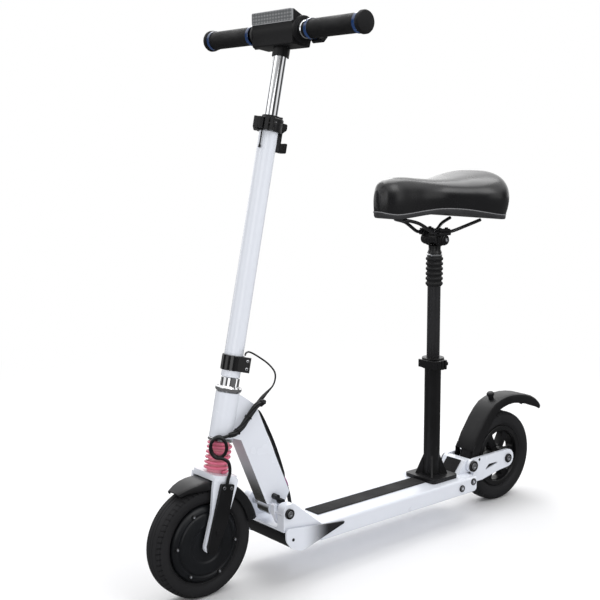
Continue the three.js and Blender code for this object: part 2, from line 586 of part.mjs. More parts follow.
// Height clamp, turned so that its bolt faces forwards and left
const clampFrame = frame(steering, 0, 0, stemTop - clamp.below, 0, viewTurn);
const clampInner = outerStem.radius + fit;
const clampOuter = clampInner + clamp.wall;
const clampEarX = clampOuter + clamp.earReach / 2;
const clampBoltZ = clamp.height / 2;
const leverY = -clamp.slit / 2 - clamp.earThick - fit - clampLever.barrel;
const leverStand = clampOuter + 2 * fit + leverY;

function clampCollarShape() {
  const { height, slit, earReach, earThick, bushWall, bushHeight, bushGap, below, postWidth } = clamp;
  const ears = rectangle(clampInner + clamp.wall / 2, clampOuter + earReach, -slit / 2 - earThick,
    slit / 2 + earThick, clamp.wall / 2);
  const collar = cut(join(ring(clampOuter, clampInner, 0, height), topPlate(ears, 0, height)),
    rod(clampInner, -overrun, height + overrun),
    block(0, clampOuter + earReach + overrun, -slit / 2, slit / 2, -overrun, height + overrun));
  const bushInner = innerTube.radius + fit;
  const bushLow = below + bushGap;
  const bushRing = ring(bushInner + bushWall, bushInner, bushLow, bushLow + bushHeight);
  const bushPost = block(-postWidth / 2, postWidth / 2, bushInner + bushWall / 2, clampOuter - clamp.wall / 4,
    height - bushWall / 2, bushLow + bushHeight);
  const lowestStem = rod(outerStem.radius + fit, -overrun, below + fit);
  const pinX = (clampInner + clampOuter) / 2;
  const dropPin = join(rod(clamp.dropPin, -clamp.dropPinLength, clamp.wall),
    rod(clamp.dropTip, -clamp.dropPinLength - clamp.dropTipLength, -clamp.dropPinLength))
    .translate(pinX, 0, 0).rotateZ(-35 * degree);
  return join(collar, bushRing, cut(bushPost, lowestStem), dropPin, ...clampBolt());
}

function clampBolt() {
  const { slit, earThick, boltRadius, headRadius, headThick } = clamp;
  const face = slit / 2 + earThick;
  return [rod(boltRadius, -face + fit, face + headThick / 2, 'y'),
    rod(headRadius, face - fit, face + headThick, 'y', 6)]
    .map((shape) => shape.translate(clampEarX, 0, clampBoltZ));
}

function leverBlade(size, low, high) {
  const { barrel, heel, length, thick, fillet, stand } = size;
  const blade = outline([[heel, 0], [heel, -stand - thick, fillet], [-length, -stand - thick, fillet],
    [-length, -stand], [-barrel, -stand], [-barrel, 0]]);
  return join(rod(barrel, low, high), topPlate(blade, low, high));
}

function clampLeverShape() {
  const { barrel, heel, barrelHeight, bladeThick, bladeLength, prongLength, prongGap, fillet } = clampLever;
  const low = clampBoltZ - barrelHeight / 2;
  const body = leverBlade({ barrel, heel, length: bladeLength, thick: bladeThick, fillet, stand: leverStand }, low,
    low + barrelHeight);
  const notch = block(-bladeLength - overrun, -bladeLength + prongLength, -leverStand - bladeThick - overrun,
    overrun, clampBoltZ - prongGap / 2, clampBoltZ + prongGap / 2);
  return cut(body, notch);
}

function foldHookShape() {
  const { halfWidth, bracketHeight, bracketReach, stripThick, drop, gap, floor, blockThick, blockHeight } = hook;
  const { fillet } = hook;
  const near = clampOuter + fit;
  const top = clampBoltZ + bracketHeight / 2;
  const stripRear = near + stripThick;
  const blockFront = stripRear + gap;
  const blockRear = blockFront + blockThick;
  const side = outline([[near, top, fillet / 2], [near + bracketReach, top, fillet],
    [near + bracketReach, top - bracketHeight * 0.6, fillet], [stripRear, top - bracketHeight, fillet],
    [stripRear, floor - drop], [blockFront, floor - drop], [blockFront, blockHeight - drop, fillet / 2],
    [blockRear, blockHeight - drop, fillet / 2], [blockRear, -drop, fillet], [near, -drop, fillet]]);
  return sidePlate(side, -halfWidth, halfWidth);
}

piece('clamp_collar', clampCollarShape(), finish.black, clampFrame);
piece('clamp_lever', clampLeverShape(), finish.black, frame(clampFrame, clampEarX, leverY, 0));
piece('fold_hook', foldHookShape(), finish.black, frame(steering, 0, 0, stemTop - clamp.below));

// Head: housing, headlight, display, button, handlebar, levers and grips
const tubeBottom = stemTop - innerTube.inside;
const tubeTop = tubeBottom + innerTube.length;
const headFrame = frame(steering, 0, -head.axisForward, tubeTop + head.above);
const headCorners = headSideShares.map(([back, up]) => new THREE.Vector2(
  back * headSize.length, up * headSize.height));

const [frontTop, frontLow, , rearTop] = headCorners;
const onwardTop = rearTop.clone().sub(frontTop).normalize();
const topNormal = new THREE.Vector2(-onwardTop.y, onwardTop.x);
const onwardFront = frontLow.clone().sub(frontTop).normalize();
const frontNormal = new THREE.Vector2(onwardFront.y, -onwardFront.x);

function onFace(normal, onward, start, length, low, high) {
  const at = (place, rise) => frontTop.clone().addScaledVector(onward, place).addScaledVector(normal, rise);
  return [at(start, low), at(start + length, low), at(start + length, high), at(start, high)];
}

function buttonShape(radius, low, high) {
  const bevel = powerButton.bevel;
  const centre = frontTop.clone().addScaledVector(onwardTop, powerButton.back);
  return revolve([[0, low], [radius, low], [radius, high - bevel], [radius - bevel, high], [0, high]])
    .rotateX(onwardTop.angle()).translate(powerButton.aside, centre.x, centre.y);
}

function headHousingShape() {
  const { halfWidth, bossRadius, bossLength, axisForward, above, collarRadius, collarLength } = head;
  const corners = outline(headCorners.map((corner) => [corner.x, corner.y, headSize.fillet]));
  const pocket = boreFor(innerTube.radius);
  const lensSeat = onFace(frontNormal, onwardFront, lens.inset - fit, lens.height + 2 * fit, -lens.depth - fit, overrun);
  const displaySeat = onFace(topNormal, onwardTop, display.start - fit, display.length + 2 * fit,
    -display.sunk - fit, overrun);
  const lowest = Math.min(...headCorners.map((corner) => corner.y));
  const collar = rod(collarRadius, lowest - collarLength, lowest + collarLength).translate(0, axisForward, 0);
  return cut(join(sidePlate(corners, -halfWidth, halfWidth),
    rod(bossRadius, -halfWidth - bossLength, halfWidth + bossLength, 'x'), collar),
  rod(boreFor(bar.radius), -halfWidth - bossLength - overrun, halfWidth + bossLength + overrun, 'x'),
  rod(pocket, lowest - collarLength - overrun, -above + fit).translate(0, axisForward, 0),
  sidePlate(lensSeat, -halfWidth - overrun, halfWidth + overrun),
  sidePlate(displaySeat, -display.halfWidth - fit, display.halfWidth + fit),
  buttonShape(powerButton.radius + fit, -powerButton.height - powerButton.travel - fit, overrun));
}

const bossEnd = head.halfWidth + head.bossLength;
const ringStart = bossEnd + fit;
const leverStart = ringStart + bar.ringLength + fit;
const gripStart = leverStart + lever.width + fit;

function handlebarShape() {
  const { radius, bore, halfLength, ringRadius, ringLength } = bar;
  const collars = bothSides(ring(ringRadius, bore + fit, ringStart, ringStart + ringLength, 'x'));
  return join(ring(radius, bore, -halfLength, halfLength, 'x'), ...collars);
}

function thumbLever() {
  const { width, hubRadius, armReach, paddleThick, paddleWidth, paddleHeight, droop, fillet } = lever;
  const inner = boreFor(bar.radius);
  const paddle = sidePlate(rectangle(armReach, armReach + paddleThick, -paddleHeight / 2, paddleHeight / 2, fillet),
    leverStart, leverStart + paddleWidth);
  const stalk = block(leverStart, leverStart + width, inner + fit, armReach + paddleThick / 2,
    -paddleHeight / 4, paddleHeight / 4);
  const hubRing = ring(hubRadius, inner, leverStart, leverStart + width, 'x');
  return join(hubRing, stalk, paddle).rotateX(-droop);
}

function gripShape() {
  const { radius, ringRadius, ringLength, outerRing, capRadius, capLength, capWall, capBevel } = grip;
  const inner = boreFor(bar.radius);
  const inside = bar.halfLength + fit;
  const end = inside + capWall;
  const cap = end - capLength;
  return revolve([[0, inside], [inner, inside], [inner, gripStart], [ringRadius, gripStart],
    [ringRadius, gripStart + ringLength], [radius, gripStart + ringLength], [radius, cap - outerRing],
    [ringRadius, cap - outerRing], [ringRadius, cap], [capRadius, cap], [capRadius, end - capBevel],
    [capRadius - capBevel, end], [0, end]], 'x');
}

piece('stem_inner_tube', ring(innerTube.radius, innerTube.bore, tubeBottom, tubeTop), finish.chrome, steering);
piece('head_housing', headHousingShape(), finish.plastic, headFrame);
piece('headlight_lens', sidePlate(onFace(frontNormal, onwardFront, lens.inset, lens.height, -lens.depth, 0),
  -head.halfWidth, head.halfWidth), finish.window, headFrame);
piece('display_glass', sidePlate(onFace(topNormal, onwardTop, display.start, display.length, -display.sunk,
  display.thick - display.sunk), -display.halfWidth, display.halfWidth), finish.glass, headFrame);
piece('power_button', buttonShape(powerButton.radius, -powerButton.height, powerButton.proud), finish.pink, headFrame);
piece('handlebar', handlebarShape(), finish.chrome, headFrame);
piece('brake_lever', thumbLever(), finish.plastic, headFrame);
piece('throttle_lever', thumbLever().scale(-1, 1, 1), finish.plastic, headFrame);
piece('grip_left', gripShape(), finish.rubber, headFrame);
piece('grip_right', gripShape().scale(-1, 1, 1), finish.rubber, headFrame);

// Neck: box down tube and gusset joined to the head tube, with the fold barrel at its foot
const toNeck = new THREE.Matrix4().makeRotationX(neckLean).setPosition(0, pivot.x, pivot.y).invert()
  .multiply(new THREE.Matrix4().makeRotationX(-rake).setPosition(0, steeringOrigin.x, steeringOrigin.y));

function onNeck(behind, above) {
  const point = new THREE.Vector3(0, behind, above).applyMatrix4(toNeck);
  return [point.y, point.z];
}

function neckShape() {
  const { halfWidth, rear, front, top, frontTop: shoulder, foot, wall, barrel, footInset } = neck;
  const { hollowTop, gussetInset } = neck;
  const rearWall = headRadius - gussetInset / 2;
  const side = [onNeck(0, headBottom + gussetInset), onNeck(0, headTop - gussetInset),
    onNeck(rearWall, headTop - gussetInset), [rear, top], [rear, foot], [footInset, -foot], [-front, barrel + wall],
    [-front, shoulder], onNeck(rearWall, headBottom + fit)];
  const inside = [[barrel + wall, -2 * barrel], [rear - wall, -2 * barrel], [rear - wall, hollowTop],
    [-front + wall, hollowTop], [-front + wall, barrel + 2 * wall], [barrel + wall, barrel + 2 * wall]];
  const shell = cut(sidePlate(side, -halfWidth, halfWidth), sidePlate(inside, -halfWidth + wall, halfWidth - wall));
  const headShell = rod(headRadius, headBottom, headTop).applyMatrix4(toNeck);
  const headHole = rod(headBore, headBottom - overrun, headTop + overrun).applyMatrix4(toNeck);
  return cut(join(shell, headShell, rod(barrel, -halfWidth, halfWidth, 'x')), headHole,
    rod(boreFor(foldBolt.radius), -halfWidth - overrun, halfWidth + overrun, 'x'));
}

function latchPinsShape() {
  const { radius, length, plate } = latchPin;
  const face = neck.halfWidth + fit;
  const places = [[latchPin.upperBehind, latchPin.upperAbove], [latchPin.lowerBehind, latchPin.lowerAbove]];
  const pins = places.map(([behind, above]) => rod(radius, face, face + length, 'x').translate(0, behind, above));
  const between = new THREE.Vector2(...places[0]).sub(new THREE.Vector2(...places[1]));
  const bridge = rectangle(-radius * 0.6, radius * 0.6, 0, between.length());
  return join(...pins, sidePlate(bridge, face, face + plate).rotateX(between.angle() - Math.PI / 2)
    .translate(0, ...places[1]));
}

piece('neck_frame', neckShape(), finish.white, neckFrame);
piece('latch_pins', latchPinsShape(), finish.black, frame(scooter, 0, pivot.x, pivot.y));

// Deck nose: two cheeks round the pivot, a floor between them and a plug in the deck
const pivotPlace = [-deck.pivotForward, deck.pivotAbove];
const latchPlace = [-deck.pivotForward - latch.forward, deck.pivotAbove];

function noseShape() {
  const { outer, slotHalf, front, cheekTop, lip, footFront, footRear, plug, bevel, slotEnd } = nose;
  const low = -deck.height + plugClear;
  const under = [[-fit, low], [-footRear, low], [-footFront, lip / 2]];
  const cheek = outline([[-front, lip / 2], [-front, deck.pivotAbove + cheekTop, bevel],
    [-deck.pivotForward + bevel, deck.pivotAbove + cheekTop, bevel], [-fit, fit], ...under]);
  const floor = outline([[-front, lip / 2], [-front, lip], [-slotEnd, lip], [-fit, fit], ...under]);
  const inset = deck.halfWidth - plugClear;
  const lug = circle(-pedal.hingeForward, -pedal.hingeDrop, pedal.pin + pedal.wall);
  const lugArm = rectangle(-pedal.hingeForward, -footRear + pedal.wall, low, low + pedal.wall * 2);
  const lugs = bothSides(join(sidePlate(lug, outer - pedal.lugThick, outer),
    sidePlate(lugArm, outer - pedal.lugThick, outer)));
  return cut(join(...bothSides(sidePlate(cheek, slotHalf, outer)), sidePlate(floor, -outer, outer),
    frontPlate(rectangle(-inset, inset, low, -plugClear, deck.fillet - deck.wall), -2 * fit, plug), ...lugs),
  rod(boreFor(foldBolt.radius), -outer - overrun, outer + overrun, 'x').translate(0, ...pivotPlace),
  rod(boreFor(pedal.pin), -outer - overrun, outer + overrun, 'x').translate(0, -pedal.hingeForward, -pedal.hingeDrop),
  rod(boreFor(latch.pinRadius), slotHalf - overrun, slotHalf + latch.pinLength, 'x').translate(0, ...latchPlace));
}

function foldBoltShape() {
  const { radius, headRadius, headThick, washerRadius } = foldBolt;
  const face = nose.outer + fit;
  const screwHead = revolve([[0, face], [headRadius, face], [headRadius, face + headThick * 0.7],
    [washerRadius, face + headThick], [0, face + headThick]], 'x');
  const spacers = bothSides(rod(foldBolt.spacer, neck.halfWidth + fit, nose.slotHalf - fit, 'x'));
  return join(rod(radius, -face - headThick / 2, face + headThick / 2, 'x'), ...spacers, ...bothSides(screwHead));
}

function sideCoverShape() {
  const { thick, front, top, tip, tipTop, tipLow, low, lowBack, fillet, screwRadius, screwProud } = sideCover;
  const face = deck.halfWidth + fit;
  const side = outline([[-front, top, fillet / 4], [tip, tipTop, -tipLow / 5], [tip - fillet / 6, tipLow],
    [-lowBack, low, fillet], [-front * 0.86, low * 0.75, fillet], [-front, -fillet / 2, fillet]]);
  const screw = rod(screwRadius, face + thick / 2, face + thick + screwProud, 'x')
    .translate(0, -front + sideCover.screwBack, top - sideCover.screwDrop);
  return join(sidePlate(side, face, face + thick), screw);
}

function pedalShape() {
  const { halfWidth, wall, pin, barrel } = pedal;
  const outerLine = spline(pedalShares.map(([forward, up]) => [0, -forward * pedalReach.length,
    up * pedalReach.height])).getPoints(10);
  const centre = new THREE.Vector3(0, pedalReach.length * 0.1, pedalReach.height);
  const innerLine = outerLine.map((point) => {
    const inward = centre.clone().sub(point).setLength(wall);
    return point.clone().add(inward);
  }).reverse();
  const side = [...outerLine, ...innerLine].map((point) => [point.y, point.z]);
  return join(sidePlate(side, -halfWidth, halfWidth), rod(barrel, -halfWidth, halfWidth, 'x'),
    rod(pin, -nose.outer, nose.outer, 'x'));
}

function foldLatchShape() {
  const { thick, pinRadius, pinLength, headRadius, headThick } = latch;
  const side = outline(latchShares.map(([back, up]) => [back * latchHeight, up * latchHeight, pinRadius / 2]));
  const outerFace = nose.slotHalf - 2 * overrun;
  return join(sidePlate(side, outerFace - thick, outerFace), rod(pinRadius, outerFace - pinRadius,
    nose.slotHalf + pinLength - 2 * fit, 'x'),
  rod(headRadius, outerFace - thick - headThick, outerFace - thick / 2, 'x'));
}

piece('deck_nose', noseShape(), finish.white, deckFrame);
piece('fold_pivot_bolt', foldBoltShape(), finish.steel, frame(deckFrame, 0, ...pivotPlace));
piece('fold_latch', foldLatchShape(), finish.white, frame(deckFrame, 0, ...latchPlace));
piece('fold_pedal', pedalShape(), finish.plastic, frame(deckFrame, 0, -pedal.hingeForward, -pedal.hingeDrop));
piece('side_cover_left', sideCoverShape(), finish.white, deckFrame);
piece('side_cover_right', sideCoverShape().scale(-1, 1, 1), finish.white, deckFrame);

// Deck: hollow extrusion with the battery and controller inside
const bolts = {
  plug: [deck.length - rearBlock.plugBoltBack, -rearBlock.plugBoltDrop],
  block: [deck.length + rearBlock.blockBoltBack, -rearBlock.blockBoltDrop],
};

function deckShape() {
  const { length, halfWidth, height, wall, fillet } = deck;
  const section = rectangle(-halfWidth, halfWidth, -height, 0, fillet);
  const hollow = rectangle(-halfWidth + wall, halfWidth - wall, -height + wall, -wall, fillet - wall);
  return cut(frontPlate(section, 0, length, [hollow]),
    rod(boreFor(rearBlock.boltRadius), -halfWidth - overrun, halfWidth + overrun, 'x').translate(0, ...bolts.plug));
}

// The mat runs back along the deck, pressed thin under the seat's base plate, and folds up the ramp
// of the rear block
function gripStripShape() {
  const { halfWidth, thick, front, pressed } = strip;
  const foot = new THREE.Vector2(deck.length + rearBlock.rampStart, 0);
  const edge = foot.clone().add(new THREE.Vector2(rearBlock.rampRun, rearBlock.rampRise));
  const onward = edge.clone().sub(foot).normalize();
  const lift = new THREE.Vector2(-onward.y, onward.x);
  const bend = Math.tan(onward.angle() / 2);
  const top = (rise) => edge.clone().addScaledVector(onward, -strip.topInset).addScaledVector(lift, rise);
  const high = fit + thick;
  const plateFront = seatBack - socket.halfLength - fit;
  const plateRear = seatBack + socket.halfLength + fit;
  return sidePlate([[front, fit], [foot.x - bend * fit, fit], top(fit), top(high), [foot.x - bend * high, high],
    [plateRear, high], [plateRear, high - pressed], [plateFront, high - pressed], [plateFront, high],
    [front, high]], -halfWidth, halfWidth);
}

const deckFloor = -deck.height + plugClear;
const deckCeiling = -plugClear;
const controllerStart = deck.length - rearBlock.plug - controller.rearGap - controller.length;
piece('deck_extrusion', deckShape(), finish.white, deckFrame);
piece('deck_grip_strip', gripStripShape(), finish.rubber, deckFrame);
piece('battery_pack', block(-battery.halfWidth, battery.halfWidth, battery.start, controllerStart - controller.gap,
  deckFloor, deckCeiling), finish.plastic, deckFrame);
piece('motor_controller', block(-controller.halfWidth, controller.halfWidth, controllerStart,
  controllerStart + controller.length, deckFloor, deckFloor + controller.height), finish.steel, deckFrame);

// Rear block: plug, bolts, ramp and the round nose that carries the arm
const armPivot = [deck.length + arm.pivotBack, arm.pivotAbove];

function rearBlockShape() {
  const { length, plug, upperHalf, rampStart, rampRise, rampRun, nose: round, bevel } = rearBlock;
  const { boltRadius, headRadius: boltHead, headProud } = rearBlock;
  const end = deck.length + length;
  const start = deck.length + fit;
  const lower = frontPlate(rectangle(-deck.halfWidth, deck.halfWidth, -deck.height, 0, deck.fillet), start, end);
  const chamfer = sidePlate([[end - bevel, -deck.height - fit], [end + overrun, -deck.height - fit],
    [end + overrun, -deck.height + bevel + overrun], [end, -deck.height + bevel]], -deck.halfWidth - overrun,
  deck.halfWidth + overrun);
  const inset = deck.halfWidth - plugClear;
  const inner = frontPlate(rectangle(-inset, inset, deckFloor, deckCeiling, deck.fillet - deck.wall),
    deck.length - plug, end - bevel);
  const [back, above] = armPivot;
  const upper = outline([[deck.length + rampStart, -fit], [deck.length + rampStart + rampRun, rampRise, bevel / 3],
    [back, above + round], ...arc(back, above, round, 75 * degree, -90 * degree, 10), [back - round, -bevel / 3],
    [deck.length + rampStart, -bevel / 3]]);
  const bolt = (place, face) => bothSides(join(rod(boltRadius, inset - boltRadius, face + headProud / 2, 'x'),
    rod(boltHead, face, face + headProud, 'x')).translate(0, ...place));
  return cut(join(cut(lower, chamfer), inner, sidePlate(upper, -upperHalf, upperHalf),
    ...bolt(bolts.plug, deck.halfWidth + fit), ...bolt(bolts.block, deck.halfWidth - fit)),
  rod(boreFor(bush.radius), -upperHalf - overrun, upperHalf + overrun, 'x').translate(0, ...armPivot));
}

piece('rear_block', rearBlockShape(), finish.white, deckFrame);
piece('arm_torsion_bush', ring(bush.radius, boreFor(arm.boltRadius), -rearBlock.upperHalf, rearBlock.upperHalf, 'x'),
  finish.rubber, armFrame);

// Rear arm: two plates round the tyre, joined by a bridge
const armOuter = arm.inner + arm.thick;

function rearArmShape() {
  const { inner, reach, pivotRadius, axleRadius, topEdge, footDrop, footStart, footEnd, waistBack } = arm;
  const { waistDrop, bridgeLength, bridgeHeight, fillet } = arm;
  const side = outline([...arc(0, 0, pivotRadius, 265 * degree, 90 * degree, 12), [pivotRadius / 2, topEdge],
    ...arc(reach, wheelDrop, axleRadius, 90 * degree, -75 * degree, 10), [waistBack, -waistDrop, fillet],
    [footEnd, -footDrop, fillet], [footStart, -footDrop, fillet], [footStart, -pivotRadius]]);
  const windowOutline = outline(armWindowShares.map(([back, up]) => [back * reach, up * reach, fillet / 2]));
  const plate = sidePlate(side, inner, armOuter, [circle(0, 0, boreFor(arm.boltRadius)),
    circle(reach, wheelDrop, boreFor(rearAxle.radius)), windowOutline,
    circle(rearFender.stubBack, rearFender.stubAbove, boreFor(rearFender.stub))]);
  const bridge = block(-inner - fillet, inner + fillet, footStart, footStart + bridgeLength, -footDrop + fit,
    -footDrop + bridgeHeight);
  return join(...bothSides(plate), bridge);
}

const headedBolt = (radius, headRadius, headThick, face) => join(rod(radius, -face - headThick / 2,
  face + headThick / 2, 'x'), ...bothSides(rod(headRadius, face, face + headThick, 'x')));

piece('rear_arm', rearArmShape(), finish.white, armFrame);
piece('rear_arm_bolt', headedBolt(arm.boltRadius, arm.boltHead, arm.boltHeadThick, armOuter + fit), finish.steel,
  armFrame);

// Rear wheel: rim with a lip each side, web with spokes, and a wide hub
function rearWheelShape() {
  const { inner, lip, web, hubRadius: boss, hubHalf, spokeWidth, spokeCount, windowFillet } = rearRim;
  const outer = rearTyre.bead - 2 * fit;
  const bore = boreFor(rearAxle.radius);
  const disc = join(ring(outer, inner, -lip, lip, 'x'), ring(inner + fit, boss - fit, -web, web, 'x'),
    ring(boss, bore, -hubHalf, hubHalf, 'x'));
  const half = Math.PI / spokeCount;
  const windows = Array.from({ length: spokeCount }, (_, place) => {
    const edge = (radius) => half - Math.asin(spokeWidth / 2 / radius);
    const corner = (radius, side) => [radius * Math.cos(side * edge(radius)), radius * Math.sin(side * edge(radius)),
      windowFillet];
    const near = boss + fit * 4;
    const far = inner - fit * 4;
    const shape = outline([corner(near, -1), corner(far, -1), [far, 0], corner(far, 1), corner(near, 1)]);
    return sidePlate(shape, -web - overrun, web + overrun).rotateX(half * (2 * place + 1));
  });
  return cut(disc, ...windows);
}

piece('rear_tyre', tyre(rearTyre), finish.tyre, rearWheel);
piece('rear_wheel', rearWheelShape(), finish.plastic, rearWheel);
piece('rear_axle', headedBolt(rearAxle.radius, rearAxle.headRadius, rearAxle.headWidth, armOuter + fit),
  finish.steel, rearWheel);

// Rear fender on two eared stub pins, with the knob that the fold hook catches
function rearFenderShape() {
  const { halfWidth, thick, shoulder, forward, foot, length, height, skirt, stations } = rearFender;
  const start = new THREE.Vector2(forward, foot);
  const ridge = new THREE.SplineCurve(rearFenderShares.map(([back, up]) => new THREE.Vector2(
    back * length, up * height).add(start)));
  const skirtAt = (share) => {
    const place = share * (rearSkirtShares.length - 1);
    const low = Math.min(Math.floor(place), rearSkirtShares.length - 2);
    return skirt * THREE.MathUtils.lerp(rearSkirtShares[low], rearSkirtShares[low + 1], place - low);
  };
  const line = Array.from({ length: stations }, (_, step) => {
    const share = step / (stations - 1);
    const onward = ridge.getTangent(share);
    return { place: ridge.getPoint(share), outward: new THREE.Vector2(-onward.y, onward.x), skirt: skirtAt(share),
      halfWidth };
  });
  const guard = mudguard(line, thick, shoulder);
  const { stub, stubBack, stubAbove, ear, earTop, knobAt, knobStem, knobHead, knobHeight } = rearFender;
  const earOutline = [...arc(stubBack, stubAbove, ear, Math.PI, 2 * Math.PI), [stubBack + ear, earTop],
    [stubBack, earTop], [stubBack - ear, foot]];
  const stubs = bothSides(join(rod(stub, halfWidth - thick, armOuter - fit, 'x').translate(0, stubBack, stubAbove),
    sidePlate(earOutline, halfWidth - thick, halfWidth)));
  const onward = ridge.getTangent(knobAt);
  const seat = ridge.getPoint(knobAt).addScaledVector(new THREE.Vector2(-onward.y, onward.x), -thick / 2);
  const knob = revolve([[0, 0], [knobStem, 0], [knobStem, knobHeight / 2], [knobHead, knobHeight / 2],
    [knobHead, knobHeight * 0.85], [knobHead * 0.7, knobHeight], [0, knobHeight]])
    .rotateX(onward.angle()).translate(0, seat.x, seat.y);
  return join(guard, knob, ...stubs);
}

piece('rear_fender', rearFenderShape(), finish.plastic, armFrame);

// Seat: socket, clamp, post, bellows, head, rails, base and cushion
const socketTop = fit + socket.plate + socket.height;
const postBore = post.radius - post.wall;
const postTop = fit + socket.plate + post.lowest + post.length;

function socketShape() {
  const { halfWidth, halfLength, plate, radius, fillet, gusset, gussetHeight, gussetReach, slot, slotDepth } = socket;
  const bore = post.radius + post.bushWall + fit;
  const top = fit + plate;
  const base = topPlate(rectangle(-halfWidth, halfWidth, -halfLength, halfLength, fillet), fit, top);
  const channel = block(-strip.halfWidth - 2 * fit, strip.halfWidth + 2 * fit, -halfLength - overrun,
    halfLength + overrun, -overrun, 2 * fit + strip.thick - strip.pressed);
  const rib = sidePlate([[radius - fit, top - fit], [radius + gussetReach, top - fit],
    [radius - fit, top + gussetHeight]], -gusset / 2, gusset / 2);
  const ribs = [0, 1, 2, 3].map((place) => rib.clone().rotateZ(Math.PI / 4 + place * Math.PI / 2));
  return cut(join(base, rod(radius, top - fit, socketTop), ...ribs), channel, rod(bore, top, socketTop + overrun),
    block(0, radius + overrun, -slot / 2, slot / 2, socketTop - slotDepth, socketTop + overrun));
}

const postClampLow = socketTop - postClamp.height + postClamp.lift;
const postClampInner = socket.radius + fit;
const postClampOuter = postClampInner + postClamp.wall;
const postEarX = postClampOuter + postClamp.earReach / 2;
const postBoltZ = postClampLow + postClamp.height / 2;
const postLeverY = -postClamp.slit / 2 - postClamp.earThick - fit - postLever.barrel;

function postClampShape() {
  const { height, wall, slit, earReach, earThick, bolt } = postClamp;
  const high = postClampLow + height;
  const ears = rectangle(postClampInner + wall / 2, postClampOuter + earReach, -slit / 2 - earThick,
    slit / 2 + earThick, wall / 2);
  const lipBore = post.radius + post.bushWall + fit;
  const body = revolve([[postClampInner, postClampLow], [postClampOuter, postClampLow], [postClampOuter, high - fit],
    [lipBore + wall, high], [lipBore, high], [lipBore, socketTop + fit], [postClampInner, socketTop + fit]]);
  const collar = cut(join(body, topPlate(ears, postClampLow, high - wall / 2)),
    rod(postClampInner, postClampLow - overrun, socketTop + fit), rod(lipBore, socketTop, high + overrun),
    block(0, postClampOuter + earReach + overrun, -slit / 2, slit / 2, postClampLow - overrun, high + overrun));
  const pin = join(rod(bolt, -slit / 2 - earThick, slit / 2 + earThick + wall / 2, 'y'),
    rod(2 * bolt, slit / 2 + earThick - fit, slit / 2 + earThick + wall / 2, 'y', 6))
    .translate(postEarX, 0, postBoltZ);
  return join(collar, pin);
}

function postLeverShape() {
  const { height } = postLever;
  const stand = postClampOuter + 2 * fit + postLeverY;
  return leverBlade({ ...postLever, stand }, -height / 2, height / 2);
}

function bellowsShape() {
  const { length, rib, valley, inner, ribs } = bellows;
  const outer = Array.from({ length: 2 * ribs + 1 }, (_, place) => [place % 2 ? rib : valley,
    place / (2 * ribs) * length]);
  return revolve([[inner, 0], ...outer, [inner, length]], 'z', 16);
}

const bellowsLow = postTop - bellows.below;
const headLow = bellowsLow + bellows.length + fit;

function seatHeadShape() {
  const { plunger, plungerDepth, ring: chromeRing, ringHeight, block: half, blockLength, barrel, barrelAbove } = seatHead;
  const { barrelHalf, railSeat, lowFillet, topFillet } = seatHead;
  const top = railSeat - rail.radius;
  const body = sidePlate(outline([[-half, ringHeight / 2], [half, ringHeight / 2],
    [blockLength / 2, top - half, lowFillet], [blockLength / 2, top + rail.radius, topFillet],
    [-blockLength / 2, top + rail.radius, topFillet], [-blockLength / 2, top - half, lowFillet]]),
  -rail.clampHalf - rail.radius * 2, rail.clampHalf + rail.radius * 2);
  const grooves = bothSides(rod(boreFor(rail.radius) + fit, -blockLength, blockLength, 'y')
    .translate(rail.clampHalf, 0, railSeat + rail.radius / 2));
  return cut(join(rod(plunger, -plungerDepth - bellows.length + bellows.below, ringHeight),
    rod(chromeRing, 0, ringHeight), body,
    rod(barrel, -barrelHalf - rail.radius * 2, barrelHalf + rail.radius * 2, 'x').translate(0, 0, barrelAbove)),
  ...grooves);
}

function railsShape() {
  const { radius, clampHalf, clampLength, rearHalf, rearBack, rearRise, noseForward, noseRise, noseHalf } = rail;
  const side = [[rearHalf, rearBack, rearRise], [rearHalf * 0.86, rearBack * 0.66, rearRise * 0.55],
    [clampHalf, clampLength, 0], [clampHalf, clampLength / 2, 0], [clampHalf, -clampLength / 2, 0],
    [clampHalf, -clampLength, 0],
    [clampHalf * 0.8, -noseForward * 0.62, noseRise * 0.7], [noseHalf, -noseForward + noseHalf / 2, noseRise]];
  const points = [...side, [0, -noseForward, noseRise + radius / 4], ...side.map(([x, y, z]) => [-x, y, z]).reverse()];
  return tube(spline(points), radius, 6, rail.steps);
}

// Height of the saddle's lower edge above its rear end, at a place measured back from the post
function edgeRise(back) {
  const place = (back + saddle.forward) / saddle.length;
  const next = saddleShares.findIndex(([share]) => share > place);
  const [from, to] = [saddleShares[next - 1], saddleShares[next]];
  return THREE.MathUtils.mapLinear(place, from[0], to[0], from[2], to[2]) * saddle.crownHeight;
}

const saddleLow = seatHead.railSeat + 1.5 * rail.radius + rail.rearRise + saddle.baseDrop + fit
  - edgeRise(rail.rearBack);

// Rings of saddle points from one edge over the crown to the other, sunk by a wall
function saddleGrid(height, sunk) {
  const { length, forward, halfWidth, acrossCount, tuckShare, squareShare } = saddle;
  return saddleShares.map(([place, width, edge, top]) => Array.from({ length: acrossCount + 1 }, (_, step) => {
    const angle = Math.PI * step / acrossCount;
    const power = (value) => Math.sign(value) * Math.abs(value) ** squareShare;
    const half = width * halfWidth - sunk;
    const rise = power(Math.sin(angle));
    const swell = 1 - tuckShare * (1 - rise) ** 2;
    return new THREE.Vector3(half * swell * power(Math.cos(angle)), -forward + place * length,
      edge * saddle.crownHeight + height(top, edge) * rise);
  }));
}

const flatGrid = (grid, drop) => grid.map((row) => row.map((point, step) => new THREE.Vector3(
  THREE.MathUtils.lerp(row[0].x, row.at(-1).x, step / (row.length - 1)), point.y, row[0].z - drop)));

